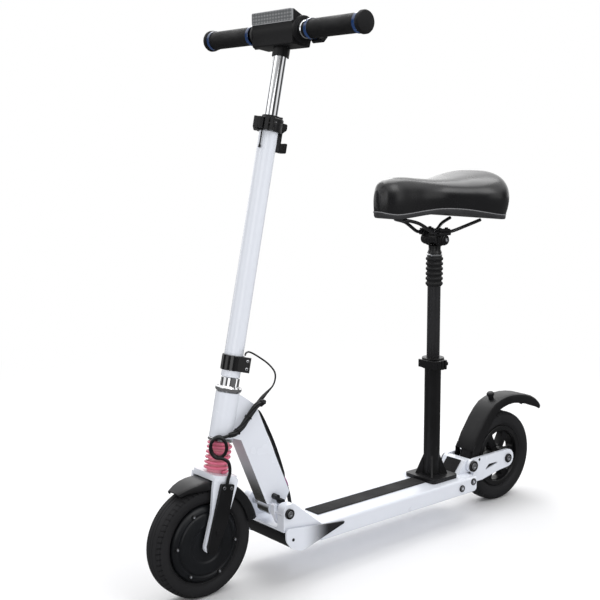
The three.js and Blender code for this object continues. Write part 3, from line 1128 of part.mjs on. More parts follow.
function saddleCushionShape() {
  const crownGrid = saddleGrid((top, edge) => (top - edge) * saddle.crownHeight, 0);
  return skin(crownGrid, flatGrid(crownGrid, 0)).translate(0, 0, saddleLow + fit);
}

function saddleBaseShape() {
  const rim = saddleGrid(() => 0, 0).map((row) => [row[0], row.at(-1)]);
  return skin(rim, flatGrid(rim, saddle.baseDrop)).translate(0, 0, saddleLow);
}

piece('seat_socket', socketShape(), finish.black, seatFrame);
piece('seat_post_clamp', postClampShape(), finish.black, seatFrame);
piece('seat_post_lever', postLeverShape(), finish.black, frame(seatFrame, postEarX, postLeverY, postBoltZ));
piece('seat_post', ring(post.radius, postBore, postTop - post.length, postTop), finish.black, seatFrame);
piece('seat_bellows', bellowsShape(), finish.rubber, frame(seatFrame, 0, 0, bellowsLow));
const headSeat = frame(seatFrame, 0, 0, headLow);
const railFrame = frame(headSeat, 0, 0, seatHead.railSeat + rail.radius / 2);
piece('seat_head', seatHeadShape(), finish.black, headSeat);
piece('seat_rails', railsShape(), finish.black, railFrame);
piece('saddle_base', saddleBaseShape(), finish.grey, headSeat);
piece('saddle_cushion', saddleCushionShape(), finish.vinyl, headSeat);

// Cables
const normalTurn = new THREE.Vector3(Math.cos(viewTurn), Math.sin(viewTurn), 0);
const alongTurn = new THREE.Vector3(-Math.sin(viewTurn), Math.cos(viewTurn), 0);

function coilPoints() {
  const { across, tall, turns, gap, centre, start, stepsPerTurn, lead } = coil;
  const pitch = 2 * cable.strand + gap;
  const steps = Math.round(turns * stepsPerTurn);
  const loops = Array.from({ length: steps + 1 }, (_, step) => {
    const turn = step / stepsPerTurn;
    const angle = start + 2 * Math.PI * turn;
    return new THREE.Vector3(...centre).addScaledVector(alongTurn, across * Math.cos(angle))
      .addScaledVector(normalTurn, pitch * (turn - turns / 2)).add(new THREE.Vector3(0, 0, tall * Math.sin(angle)));
  });
  const begin = loops[0].clone().add(new THREE.Vector3(...lead));
  return { begin, loops };
}

piece('stem_cable', join(cord(stemCableRoute, cable.thin), cord(stemCableRoute.slice(stemSleeveStart),
  cable.sleeve)), finish.rubber, scooter);
piece('neck_cable', join(cord(neckCableRoute, cable.sheath), cord(neckCableRoute.slice(...neckGrommetPoints),
  cable.grommet)), finish.rubber, scooter);
piece('cable_harness', cord(harnessRoute, cable.bundle), finish.rubber, scooter);
const { begin, loops } = coilPoints();
console.log(`least gap between coil loops ${leastGap(loops, cable.strand, coil.stepsPerTurn / 2).toFixed(2)} mm`);
piece('cable_coil', tube(spline([begin, ...loops]), cable.strand, coil.sides,
  Math.round(coil.turns * coil.stepsPerTurn)), finish.rubber, scooter);
piece('motor_cable', cord(motorCableRoute, cable.strand), finish.rubber, scooter);

// Stand the scooter on the floor, centred on its own box
scooter.updateMatrixWorld(true);
const box = new THREE.Box3().setFromObject(scooter);
scooter.position.set(-(box.min.x + box.max.x) / 2, -(box.min.y + box.max.y) / 2, -box.min.z);
const group = new THREE.Group();
group.add(scooter);

export default group;
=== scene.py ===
# Looks of the seated electric scooter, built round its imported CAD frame
import json
from math import ceil, copysign, cos, degrees, dist, pi, radians, sin, tau

import bmesh
import bpy
from mathutils import Matrix, Vector
from mathutils.geometry import interpolate_bezier

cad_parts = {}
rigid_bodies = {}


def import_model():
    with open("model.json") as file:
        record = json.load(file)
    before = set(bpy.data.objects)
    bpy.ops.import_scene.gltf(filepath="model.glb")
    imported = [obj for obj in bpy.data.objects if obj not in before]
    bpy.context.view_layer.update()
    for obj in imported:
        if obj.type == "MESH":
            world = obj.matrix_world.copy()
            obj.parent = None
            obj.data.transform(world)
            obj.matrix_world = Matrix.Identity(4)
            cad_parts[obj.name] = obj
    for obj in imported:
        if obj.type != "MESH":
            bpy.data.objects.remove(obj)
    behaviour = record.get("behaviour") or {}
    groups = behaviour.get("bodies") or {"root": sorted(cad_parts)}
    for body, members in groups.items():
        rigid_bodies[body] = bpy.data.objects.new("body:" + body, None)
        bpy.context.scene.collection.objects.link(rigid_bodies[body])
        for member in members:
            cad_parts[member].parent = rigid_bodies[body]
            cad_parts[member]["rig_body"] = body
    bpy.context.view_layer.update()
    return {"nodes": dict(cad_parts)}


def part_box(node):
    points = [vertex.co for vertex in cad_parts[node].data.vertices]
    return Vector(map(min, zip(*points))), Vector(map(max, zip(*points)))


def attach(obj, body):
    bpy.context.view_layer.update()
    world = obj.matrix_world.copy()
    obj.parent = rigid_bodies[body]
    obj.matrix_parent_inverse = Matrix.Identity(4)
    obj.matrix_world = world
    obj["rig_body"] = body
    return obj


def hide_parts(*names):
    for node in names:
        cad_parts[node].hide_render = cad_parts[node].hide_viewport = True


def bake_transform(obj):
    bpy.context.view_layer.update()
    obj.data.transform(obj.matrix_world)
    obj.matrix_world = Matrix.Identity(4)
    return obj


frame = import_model()
cad = frame["nodes"]
scene = bpy.context.scene
mm = 0.001
micron = 0.000001
up = Vector((0, 0, 1))
sides = {"Right": (-1, 180), "Left": (1, 0)}  # which way X goes, and the turn that faces a piece outward
seatMiddle = 179.382  # how far back the seat post stands, in millimetres


def at(x, y, z):  # a point given in millimetres
    return Vector((x, y, z)) * mm


def placed(x, y, z, lean=0):
    return Matrix.Translation((x, y, z)) @ Matrix.Rotation(radians(lean), 4, "X")


# Places that pieces are measured from, in metres, with their lean in degrees
places = {
    "steering": placed(0, -0.406448, 0.097204, -12),
    "head": placed(0, -0.222181, 0.988162, -12),
    "frontAxle": placed(0, -0.418597, 0.099786),
    "rearAxle": placed(0, 0.385382, 0.099786),
    "deck": placed(0, -0.182618, 0.090782),
    "arm": placed(0, 0.268382, 0.104782),
    "seat": placed(0, seatMiddle * mm, 0.090782),
    "seatHead": placed(0, seatMiddle * mm, 0.563082),
}


# Shader values that add up like numbers
class Value:
    def __init__(self, wiring, socket):
        self.wiring, self.socket = wiring, socket

    def __add__(self, other):
        return self.wiring.math("ADD", self, other)

    def __sub__(self, other):
        return self.wiring.math("SUBTRACT", self, other)

    def __rsub__(self, other):
        return self.wiring.math("SUBTRACT", other, self)

    def __mul__(self, other):
        return self.wiring.math("MULTIPLY", self, other)

    __radd__, __rmul__ = __add__, __mul__


class Wiring:
    def __init__(self, tree):
        self.tree = tree

    def node(self, kind, settings=None, values=(), out=0):
        made = self.tree.nodes.new("ShaderNode" + kind)
        for key, setting in (settings or {}).items():
            setattr(made, key, setting)
        for key, value in (values.items() if isinstance(values, dict) else enumerate(values)):
            self.link(made.inputs[key], value)
        return Value(self, made.outputs[out])

    def link(self, socket, value):
        if isinstance(value, Value):
            self.tree.links.new(value.socket, socket)
        elif isinstance(value, tuple) and socket.type == "RGBA":
            socket.default_value = (*value, 1)
        else:
            socket.default_value = value

    def place(self, kind="Object"):
        return self.node("TexCoord", out=kind)

    def math(self, operation, *given):
        return self.node("Math", {"operation": operation}, given)

    def axes(self, vector):
        return [self.node("SeparateXYZ", values=[vector], out=place) for place in range(3)]

    def dot(self, vector, direction):
        return self.node("VectorMath", {"operation": "DOT_PRODUCT"}, [vector, direction], out=1)

    def noise(self, scale, detail=3, rough=0.5, at=None):
        return self.node("TexNoise", values={
            "Vector": at or self.place(), "Scale": scale, "Detail": detail, "Roughness": rough})

    def span(self, value, low, high, start=0, end=1):  # from low to high while the value goes from start to end
        return self.node("MapRange", {"interpolation_type": "SMOOTHSTEP"}, [value, start, end, low, high])

    def mask(self, value, start, end):
        return self.span(value, 0, 1, start, end)

    def mix(self, share, first, second):
        return self.node("Mix", {"data_type": "RGBA"}, {0: share, 6: first, 7: second}, out=2)

    def bump(self, height, depth, strength=1, before=None):
        values = {"Height": height, "Distance": depth, "Strength": strength}
        return self.node("Bump", values={**values, "Normal": before} if before else values)


class Paint(Wiring):
    def __init__(self, name, **sockets):
        self.material = bpy.data.materials.new(name)
        self.material.use_nodes = True
        super().__init__(self.material.node_tree)
        self.shader = self.tree.nodes["Principled BSDF"]
        self.give(**sockets)

    def give(self, **sockets):  # a socket goes by its name in camelCase, such as coatWeight
        for name, value in sockets.items():
            words = "".join(" " + letter if letter.isupper() else letter for letter in name)
            self.link(self.shader.inputs[words.title().replace("Ior", "IOR")], value)
        return self.material

    def uneven(self, wide, low, high):  # roughness that drifts with a slow noise
        return self.span(wide, low, high, 0.3, 0.7)

    def finish(self, size, toneBy, glossBy, relief, share=None, cover=None):  # the cover takes over by its share
        tone = self.mix(toneBy, size["dark"], size["pale"])
        if share:
            tone = self.mix(share, tone, cover)
        return self.give(baseColor=tone, roughness=self.uneven(glossBy, *size["gloss"]), normal=relief)


# A painted or moulded surface: fine grain, soft clouds, an uneven gloss and dust on what faces up
clouds = {"scale": 14, "detail": 4, "edge": (0.35, 0.65)}
dustLook = {"colour": (0.3, 0.29, 0.27), "scale": 60, "flecks": (0.45, 0.75), "facing": (0.1, 0.9), "dulls": 0.5}


def coated(name, colour, rough, grain, grainScale, cloud, spread=0.06, dust=0, **fixed):
    paint = Paint(name, **fixed)
    wide = paint.noise(clouds["scale"], clouds["detail"])
    darker = tuple(part * (1 - cloud) for part in colour)
    tone = paint.mix(paint.mask(wide, *clouds["edge"]), darker, colour)
    gloss = paint.uneven(wide, rough - spread, rough + spread)
    if dust:
        flecks = paint.mask(paint.noise(dustLook["scale"], 5, 0.6), *dustLook["flecks"])
        lying = paint.span(paint.axes(paint.place("Normal"))[2], 0, dust, *dustLook["facing"]) * flecks
        tone = paint.mix(lying, tone, dustLook["colour"])
        gloss = gloss + lying * dustLook["dulls"]
    return paint.give(baseColor=tone, roughness=gloss, normal=paint.bump(paint.noise(grainScale, 2), grain * micron))


metal = {"brush": (60, 60, 900), "cloudScale": 25, "darker": 0.86, "spread": 0.3, "depth": 0.000004}


def bareMetal(name, colour, rough):
    paint = Paint(name, metallic=1)
    brushed = paint.node("Mapping", values={"Vector": paint.place(), "Scale": metal["brush"]})
    streaks = paint.noise(1, 3, 0.6, brushed)
    darker = tuple(part * metal["darker"] for part in colour)
    return paint.give(
        baseColor=paint.mix(paint.noise(metal["cloudScale"], 3), darker, colour),
        roughness=paint.span(streaks, rough * (1 - metal["spread"]), rough * (1 + metal["spread"])),
        normal=paint.bump(streaks, metal["depth"]))


# White paint that darkens over part of the piece: painted shade on the neck's front face, real black paint along the
# rear part of each side cover
whites = {"pale": (0.8, 0.83, 0.9), "dark": (0.79, 0.82, 0.89), "gloss": (0.24, 0.28), "grain": 0.000008,
          "grainScale": 150}
# Painted shade on the neck's front face: grey high up, near black at its foot
neckShadeTones = {"forward": (0, -0.918, -0.396), "facing": (0.7, 0.9), "rise": (0.15, 0.225),
             "high": (0.46, 0.47, 0.5), "low": (0.014, 0.015, 0.011)}
coverTones = {"along": (-0.236, -0.168), "dark": (0.012, 0.012, 0.014)}


def whiteWithDarkPart(name, shade):
    paint = Paint(name, coatWeight=0.3)
    wide = paint.noise(clouds["scale"], clouds["detail"])
    grain = paint.bump(paint.noise(whites["grainScale"], 2), whites["grain"])
    return paint.finish(whites, wide, wide, grain, *shade(paint))


# Painted shade: grey where the neck faces forward and down, near black at its foot
def neckPaintedShade(paint):  # on the face that looks forward and down, darkest at its foot
    forward = paint.dot(paint.place("Normal"), neckShadeTones["forward"])
    height = paint.axes(paint.place())[2]
    return (paint.mask(forward, *neckShadeTones["facing"]),
            paint.mix(paint.mask(height, *neckShadeTones["rise"]), neckShadeTones["low"], neckShadeTones["high"]))


def coverBlackPaint(paint):  # black paint that begins along the cover's length
    return paint.mask(paint.axes(paint.place())[1], *coverTones["along"]), coverTones["dark"]


# Tyre rubber with slanted sipes sunk into the band that meets the road, with painted shade inside the sipes
tread = {"sipes": 60, "slant": 26, "land": (0.06, 0.16), "inside": (0.0925, 0.0935), "outside": (0.0982, 0.0988),
         "depth": 0.0007, "grain": 0.00004, "grainScale": 1300, "gloss": (0.62, 0.82),
         "dark": (0.011, 0.011, 0.012), "pale": (0.019, 0.019, 0.021), "cut": (0.006, 0.006, 0.007)}


def tyreRubber(name, place):
    paint = Paint(name, specularIorLevel=0.2)
    centre = places[place].translation
    x, y, z = paint.axes(paint.place())
    y, z = y - centre.y, z - centre.z
    turn = paint.math("ARCTAN2", z, y) * (tread["sipes"] / 2 / pi)
    slant = turn + paint.math("ABSOLUTE", x) * tread["slant"]
    tooth = paint.mask(paint.math("PINGPONG", slant, 0.5), *tread["land"])
    reach = paint.math("SQRT", y * y + z * z)
    band = paint.mask(reach, *tread["inside"]) * (1 - paint.mask(reach, *tread["outside"]))
    # painted shade: the sipes are coloured darker than the rubber round them
    cut = (1 - tooth) * band
    wide = paint.noise(18, 4)
    grain = paint.bump(paint.noise(tread["grainScale"], 2), tread["grain"])
    return paint.finish(tread, wide, wide, paint.bump(1 - cut, tread["depth"], 1, grain), cut, tread["cut"])


vinyl = {"grainScale": 850, "grain": 0.00004, "dentScale": 22, "dent": 0.0012, "gloss": (0.24, 0.34),
         "dark": (0.005, 0.005, 0.006), "pale": (0.009, 0.009, 0.01)}


def saddleVinyl():
    paint = Paint("saddleVinyl", coatWeight=0.4, coatRoughness=0.26, specularIorLevel=0.3)
    grain = paint.node("TexVoronoi", {"feature": "SMOOTH_F1"},
                       {"Vector": paint.place(), "Scale": vinyl["grainScale"], "Smoothness": 0.6})
    wide = paint.noise(9, 4)
    soft = paint.bump(paint.noise(vinyl["dentScale"], 2), vinyl["dent"], 0.6)
    return paint.finish(vinyl, wide, wide, paint.bump(grain, vinyl["grain"], 1, soft))


# Grip rubber with fine crossed ribs
gripRibs = {"perMetre": 1900, "depth": 0.00018, "gloss": (0.5, 0.68), "dark": (0.0042, 0.0042, 0.0049),
            "pale": (0.006, 0.006, 0.007)}


def gripRubber():
    paint = Paint("gripRubber", specularIorLevel=0.25)
    x, y, z = paint.axes(paint.place())
    ribs = paint.math("SINE", x * gripRibs["perMetre"]) * paint.math("SINE", (y + z) * gripRibs["perMetre"])
    wide = paint.noise(20, 4)
    grain = paint.bump(paint.noise(1500, 2), 0.00003)
    return paint.finish(gripRibs, wide, wide, paint.bump(ribs, gripRibs["depth"], 1, grain))


# Mat with a coarse sparkle of grit, and worn patches
grit = {"scale": 520, "depth": 0.00035, "worn": (0.5, 0.8), "gloss": (0.72, 0.9), "dark": (0.007, 0.007, 0.008),
        "pale": (0.02, 0.02, 0.021), "wornColour": (0.032, 0.031, 0.03)}


def gritMat():
    paint = Paint("gripMat", specularIorLevel=0.2)
    grains = paint.node("TexVoronoi", {"feature": "F1"}, {"Vector": paint.place(), "Scale": grit["scale"]})
    worn = paint.mask(paint.noise(30, 5, 0.65), *grit["worn"])
    return paint.finish(grit, grains, paint.noise(12, 4), paint.bump(grains, grit["depth"]), worn, grit["wornColour"])


# Lamp window with crossed flutes inside it
flutes = {"across": 0.004, "tall": 0.0028, "depth": 0.0006, "gloss": (0.14, 0.26), "dark": (0.12, 0.125, 0.13),
          "pale": (0.25, 0.255, 0.265)}


def lampWindow():
    paint = Paint("lampWindow", coatWeight=0.6)
    x, y, z = paint.axes(paint.place())
    columns = paint.mask(paint.math("PINGPONG", x, flutes["across"]), 0, flutes["across"])
    rows = paint.mask(paint.math("PINGPONG", z, flutes["tall"]), 0, flutes["tall"])
    pillows = columns * rows
    return paint.finish(flutes, pillows, paint.noise(40, 3), paint.bump(pillows, flutes["depth"]))


# Finishes: colour, roughness, depth of the grain in microns, its scale, and how much the clouds darken
look = {
    "white": coated("whitePaint", (0.8, 0.83, 0.9), 0.26, 8, 150, 0.012, 0.02, 0.012, coatWeight=0.35),
    # the neck's white carries painted shade on its front face
    "neckWhite": whiteWithDarkPart("neckPaint", neckPaintedShade),
    "coverWhite": whiteWithDarkPart("coverPaint", coverBlackPaint),
    "deckWhite": coated("deckPaint", (0.79, 0.82, 0.89), 0.3, 8, 150, 0.015, 0.03, 0.02, coatWeight=0.2),
    "black": coated("blackPaint", (0.009, 0.009, 0.01), 0.34, 10, 1400, 0.3, dust=0.03, specularIorLevel=0.3),
    "glossBlack": coated("glossBlackPaint", (0.006, 0.006, 0.007), 0.14, 6, 1400, 0.3, coatWeight=0.4),
    "postBlack": coated("postPaint", (0.016, 0.016, 0.018), 0.3, 10, 1400, 0.2, dust=0.02),
    "hub": coated("motorCasing", (0.008, 0.009, 0.011), 0.36, 20, 1200, 0.3, dust=0.02, specularIorLevel=0.25),
    "rim": coated("rimPaint", (0.009, 0.009, 0.01), 0.34, 10, 1200, 0.3, dust=0.03, specularIorLevel=0.3),
    "chrome": bareMetal("chrome", (0.82, 0.83, 0.85), 0.07),
    "steel": bareMetal("zincSteel", (0.56, 0.57, 0.6), 0.28),
    "pink": coated("springPaint", (0.8, 0.17, 0.28), 0.3, 8, 700, 0.12, coatWeight=0.3),
    "palePink": coated("springSleeve", (0.86, 0.36, 0.44), 0.38, 8, 700, 0.1),
    "blue": coated("blueRing", (0.006, 0.035, 0.13), 0.16, 6, 900, 0.15, coatWeight=0.5),
    "purple": coated("grommetRubber", (0.3, 0.1, 0.24), 0.45, 10, 900, 0.15),
    "plastic": coated("mouldedPlastic", (0.007, 0.007, 0.008), 0.42, 20, 1600, 0.25, dust=0.02,
                      specularIorLevel=0.24),
    "frontTyre": tyreRubber("frontTyreRubber", "frontAxle"),
    "rearTyre": tyreRubber("rearTyreRubber", "rearAxle"),
    "rubber": coated("softRubber", (0.011, 0.011, 0.012), 0.6, 40, 1500, 0.3, dust=0.03, specularIorLevel=0.3),
    "grip": gripRubber(),
    "mat": gritMat(),
    "cable": coated("cableSheath", (0.007, 0.007, 0.008), 0.4, 20, 1500, 0.3, specularIorLevel=0.3),
    "vinyl": saddleVinyl(),
    "shell": coated("saddleShell", (0.03, 0.03, 0.033), 0.5, 30, 1500, 0.25),
    "piping": coated("pipingCord", (0.22, 0.22, 0.23), 0.5, 30, 1500, 0.15),
    "window": lampWindow(),
    "frameGrey": coated("windowFrame", (0.34, 0.345, 0.36), 0.3, 10, 900, 0.1),
    "glass": coated("displayGlass", (0.008, 0.008, 0.01), 0.06, 1, 900, 0.1),
    "seam": coated("seamGap", (0.03, 0.03, 0.034), 0.7, 10, 900, 0.1),
    "case": coated("metalCase", (0.3, 0.31, 0.33), 0.4, 10, 900, 0.1),
}
print("finishes ready")


# Mesh tools
def pieceOf(name, form, material, body=None, node=None, smooth=38):
    mesh = bpy.data.meshes.new(name)
    form.to_mesh(mesh)
    form.free()
    mesh.shade_smooth()
    mesh.set_sharp_from_angle(angle=radians(smooth))
    mesh.materials.append(look[material])
    thing = bpy.data.objects.new(name, mesh)
    scene.collection.objects.link(thing)
    if body:
        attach(thing, body)
    if node:
        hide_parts(node)
    return thing


# A CAD form with its hard edges rounded off
rounding = {"edge": 0.5, "sharpFrom": 32, "weld": 0.000005, "flat": 0.6}


def softened(node, material):
    mesh = bmesh.new()
    mesh.from_mesh(cad[node].data)
    bmesh.ops.remove_doubles(mesh, verts=mesh.verts, dist=rounding["weld"])
    bmesh.ops.dissolve_limit(mesh, angle_limit=radians(rounding["flat"]), verts=mesh.verts, edges=mesh.edges)
    sharp = [edge for edge in mesh.edges if len(edge.link_faces) == 2
             and edge.calc_face_angle(0) > radians(rounding["sharpFrom"])]
    bmesh.ops.bevel(mesh, geom=sharp, offset=rounding["edge"] * mm, offset_type="OFFSET", segments=2, profile=0.6,
                    affect="EDGES", clamp_overlap=True)
    bmesh.ops.triangulate(mesh, faces=[face for face in mesh.faces if len(face.verts) > 4])
    name = "".join(word.title() if place else word for place, word in enumerate(node.split("_")))
    even = pieceOf(name, mesh, material, cad[node]["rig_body"], node).modifiers.new("evenNormals", "WEIGHTED_NORMAL")
    even.keep_sharp = True


def join(whole, *others):
    for other in others:
        spare = bpy.data.meshes.new("spare")
        other.to_mesh(spare)
        other.free()
        whole.from_mesh(spare)
        bpy.data.meshes.remove(spare)


# A place moved by millimetres in its own frame, then turned by degrees
def spot(place, x=0, y=0, z=0, turn=0, axis="Z"):
    start = places[place] if isinstance(place, str) else place
    return start @ Matrix.Translation(at(x, y, z)) @ Matrix.Rotation(radians(turn), 4, axis)


def fullTurn(count):
    return [tau * step / count for step in range(count)]


def ringsToMesh(rings, closed=True, capped=False):
    mesh = bmesh.new()
    rows = [[mesh.verts.new(point) for point in ring] for ring in rings]
    for first, second in zip(rows, rows[1:]):
        count = len(first)
        for place in range(count if closed else count - 1):
            other = (place + 1) % count
            mesh.faces.new((first[place], first[other], second[other], second[place]))
    if capped:
        mesh.faces.new(list(reversed(rows[0])))
        mesh.faces.new(rows[-1])
    bmesh.ops.recalc_face_normals(mesh, faces=mesh.faces)
    return mesh


# Profiles that follow each other all the way round
def profilesToMesh(profiles):
    mesh = ringsToMesh(profiles + [profiles[0]], closed=False)
    bmesh.ops.remove_doubles(mesh, verts=mesh.verts, dist=0.000001)
    bmesh.ops.recalc_face_normals(mesh, faces=mesh.faces)
    return mesh


# Profile points near enough to each other that no long thin faces are made
longestStep = 24


def divided(pairs):
    line = [pairs[0]]
    for start, end in zip(pairs, pairs[1:]):
        count = max(1, ceil(dist(start, end) / longestStep))
        line += [tuple(a + (b - a) * step / count for a, b in zip(start, end)) for step in range(1, count + 1)]
    return line


# A turned form round a place's X or Z axis, from (radius, along) pairs that may change with the angle
def turned(profile, place, axis="z", count=64):
    profiles = []
    for angle in fullTurn(count):
        x, y = Vector((cos(angle), sin(angle)))
        pairs = divided(profile(angle) if callable(profile) else profile)
        points = [(along, radius * x, radius * y) if axis == "x" else (radius * x, radius * y, along)
                  for radius, along in pairs]
        profiles.append([place @ (Vector(point) * mm) for point in points])
    return profilesToMesh(profiles)


# Points of one smooth curve through the given ones
def smoothLine(points, steps):
    points = [Vector(point) for point in points]
    line = []
    for place, (start, end) in enumerate(zip(points, points[1:])):
        before = points[max(place - 1, 0)]
        after = points[min(place + 2, len(points) - 1)]
        line += interpolate_bezier(start, start + (end - before) / 6, end - (after - start) / 6, end, steps + 1)[:-1]
    return line + [points[-1]]


def heading(line, place):
    return (line[min(place + 1, len(line) - 1)] - line[max(place - 1, 0)]).normalized()


# Two directions across a line at each of its points, carried along it without a twist
def acrossLine(line, side=None):
    pairs = []
    for place in range(len(line)):
        onward = heading(line, place)
        if side is None:
            side = onward.orthogonal().normalized()
        side = (side - onward * side.dot(onward)).normalized()
        pairs.append((side, onward.cross(side)))
    return pairs


# A round tube along a line of points, with radii that may change along it
def tubeAlong(line, radius, count, capped=True):
    radii = radius if isinstance(radius, list) else [radius] * len(line)
    rings = [[point + (side * cos(turn) + other * sin(turn)) * reach for turn in fullTurn(count)]
             for point, reach, (side, other) in zip(line, radii, acrossLine(line))]
    return ringsToMesh(rings, capped=capped)


# A round head on a place's X axis, with a bevelled rim and a hexagon socket where one is asked for
def screwHead(place, radius, tall, socket, depth, bevel=0.5, count=36):
    def around(size, along, flats=False):
        ring = []
        for turn in fullTurn(count):
            reach = size / cos((turn + pi / 6) % (pi / 3) - pi / 6) if flats else size
            ring.append(place @ at(along, reach * cos(turn), reach * sin(turn)))
        return ring

    shoulder = 0.3 * bevel
    rings = [around(radius, 0), around(radius, tall - bevel), around(radius - shoulder, tall - shoulder),
             around(radius - bevel, tall)]
    if socket:
        rings += [around(socket, tall, True), around(socket * 0.96, tall - depth, True)]
    return ringsToMesh(rings, capped=True)


# A bolt as a dark collar with a bright head in it
boltShape = {"head": 0.64, "edge": 0.7, "lip": 0.3, "sunk": 0.5, "gap": 0.15, "rise": 0.35, "socket": 0.45,
             "depth": 1.6}


def ringedBolt(name, place, body, radius, proud):
    size = boltShape
    inner = size["head"] * radius
    collar = [(radius, 0), (radius, proud - size["edge"]), (radius - size["edge"], proud),
              (inner + size["lip"], proud), (inner, proud - size["sunk"]), (inner, 0)]
    head = screwHead(place, inner - size["gap"], proud + size["rise"], size["socket"] * inner, size["depth"])
    pieceOf(name + "Rim", turned(collar, place, "x", 48), "black", body)
    pieceOf(name + "Head", head, "steel", body)


def roundedBox(place, low, high, bevel, segments=3):
    mesh = bmesh.new()
    size, centre = Vector(high) - Vector(low), (Vector(high) + Vector(low)) / 2
    block = place @ Matrix.Translation(centre * mm) @ Matrix.Diagonal((*(size * mm), 1))
    bmesh.ops.create_cube(mesh, size=1, matrix=block)
    bmesh.ops.bevel(mesh, geom=mesh.edges[:], offset=bevel * mm, segments=segments, profile=0.6, affect="EDGES")
    return mesh


print("tools ready")


# Camera at the photograph's angle
camera = {"eye": (1.48566, -1.426747, 0.797756), "right": (0.64232, 0.76642, -0.00414),
          "up": (-0.11105, 0.09842, 0.98893), "back": (0.75835, -0.63475, 0.14833), "lens": 63.4, "farthest": 50}


def makeCamera():
    data = bpy.data.cameras.new("photoCamera")
    data.lens, data.clip_end = camera["lens"], camera["farthest"]
    thing = bpy.data.objects.new("photoCamera", data)
    scene.collection.objects.link(thing)
    columns = Matrix((camera["right"], camera["up"], camera["back"])).transposed().to_4x4()
    thing.matrix_world = Matrix.Translation(camera["eye"]) @ columns
    scene.camera = thing


# Pale floor that fades into the backdrop, and soft studio light
studio = {"floor": 14, "white": (0.9, 0.9, 0.91), "seen": 1, "ambient": 0.5, "fade": (0.75, 2.1),
          "under": 0.16, "lookAt": (0, 0, 0.45)}
panels = {"count": 3, "turn": 0.6, "dark": 0.06, "bright": 1.3, "edge": (0.45, 0.95), "strength": 0.75,
          "rise": (0.22, 0.6), "behind": (-0.767, 0.642, 0), "behindEdge": (0.15, 0.7)}
lamps = {  # where each stands, its size in metres and its power in watts
    "overhead": ((-0.5, 0.7, 3), 2.4, 62),
    "key": ((2.4, 0.2, 2.6), 1.6, 22),
    "fill": ((2.2, -2.6, 1.2), 1.6, 12),
    "back": ((-2.6, 1.6, 2.2), 1.6, 18),
    "front": ((-1.2, -2.8, 2.4), 1.4, 10),
}


def makeWorld():
    world = bpy.data.worlds.new("studio")
    world.use_nodes = True
    wires = Wiring(world.node_tree)
    direct = wires.node("LightPath", out="Is Diffuse Ray")  # the backdrop lights less than it shows
    mirrored = wires.node("LightPath", out="Is Glossy Ray")  # and gloss sees panels with gaps in them
    looking = wires.place("Generated")
    x, y, z = wires.axes(looking)
    stripes = wires.math("SINE", wires.math("ARCTAN2", y, x) * panels["count"] + panels["turn"])
    gaps = ((1 - wires.span(stripes, 0, panels["strength"], *panels["edge"])) * (1 - wires.mask(z, *panels["rise"]))
            * (1 - wires.mask(wires.dot(looking, panels["behind"]), *panels["behindEdge"])))
    seenByGloss = panels["bright"] - gaps * (panels["bright"] - panels["dark"])
    shown = 1 - mirrored * (1 - seenByGloss)
    background = world.node_tree.nodes["Background"]
    wires.link(background.inputs["Color"], (1, 1, 1))
    wires.link(background.inputs["Strength"],
               (studio["seen"] - direct * (studio["seen"] - studio["ambient"])) * shown)
    world.cycles.sampling_method = "NONE"  # the backdrop is met by bounced rays alone, with less speckle on white
    scene.world = world


def makeFloor():
    half = studio["floor"]
    mesh = bmesh.new()
    mesh.faces.new([mesh.verts.new((x * half, y * half, 0)) for x, y in ((-1, -1), (1, -1), (1, 1), (-1, 1))])
    paint = Paint("paleFloor", baseColor=studio["white"], roughness=0.9)
    away = paint.node("VectorMath", {"operation": "LENGTH"}, [paint.place()], out=1)
    glow, dim = [paint.node("Emission", values={"Color": (1, 1, 1), "Strength": studio[strength]})
                 for strength in ("seen", "under")]
    ground = paint.node("MixShader", values=[
        paint.mask(away, *studio["fade"]), Value(paint, paint.shader.outputs[0]), glow])
    mirrored = paint.node("LightPath", out="Is Glossy Ray")
    ground = paint.node("MixShader", values=[mirrored, ground, dim])
    paint.link(paint.tree.nodes["Material Output"].inputs["Surface"], ground)
    paint.material.cycles.emission_sampling = "NONE"  # its glow is met in the same way
    look["floor"] = paint.material
    pieceOf("floor", mesh, "floor")


def makeLamps():
    for name, (stand, size, power) in lamps.items():
        data = bpy.data.lights.new(name, "AREA")
        data.size, data.energy = size, power
        lamp = bpy.data.objects.new(name, data)
        lamp.location = stand
        lamp.rotation_euler = (Vector(stand) - Vector(studio["lookAt"])).to_track_quat("Z", "Y").to_euler()
        scene.collection.objects.link(lamp)


scene.view_settings.view_transform = "Standard"
makeCamera()
makeWorld()
makeFloor()
makeLamps()
print("camera and studio ready")


# CAD forms that keep their shape
softenedNodes = {
    "white": "fork deck_nose fold_latch rear_block rear_arm",
    "black": "stem_collar clamp_collar clamp_lever fold_hook latch_pins seat_socket seat_post_clamp seat_post_lever",
    "steel": "front_axle fold_pivot_bolt rear_axle rear_arm_bolt",
    "pink": "power_button",
    "plastic": "fork_cover front_fender head_housing brake_lever throttle_lever fold_pedal rear_wheel rear_fender",
    "window": "headlight_lens",
    "glass": "display_glass",
    "mat": "deck_grip_strip",
    "neckWhite": "neck_frame",
    "deckWhite": "deck_extrusion",
    "coverWhite": "side_cover_left side_cover_right",
}
for material, names in softenedNodes.items():
    for node in names.split():
        softened(node, material)
for node, material in {"headset_lower_bearing": "steel", "arm_torsion_bush": "rubber", "battery_pack": "case",
                       "motor_controller": "case"}.items():
    cad[node].data.materials.clear()
    cad[node].data.materials.append(look[material])
print("carried-over forms ready")


# Tubes and turned pieces, as (radius, along) pairs
def tubeProfile(outer, inner, low, high, bevel=0.6):
    return [(inner, low), (outer - bevel, low), (outer, low + bevel), (outer, high - bevel), (outer - bevel, high),
            (inner, high), (inner, low)]


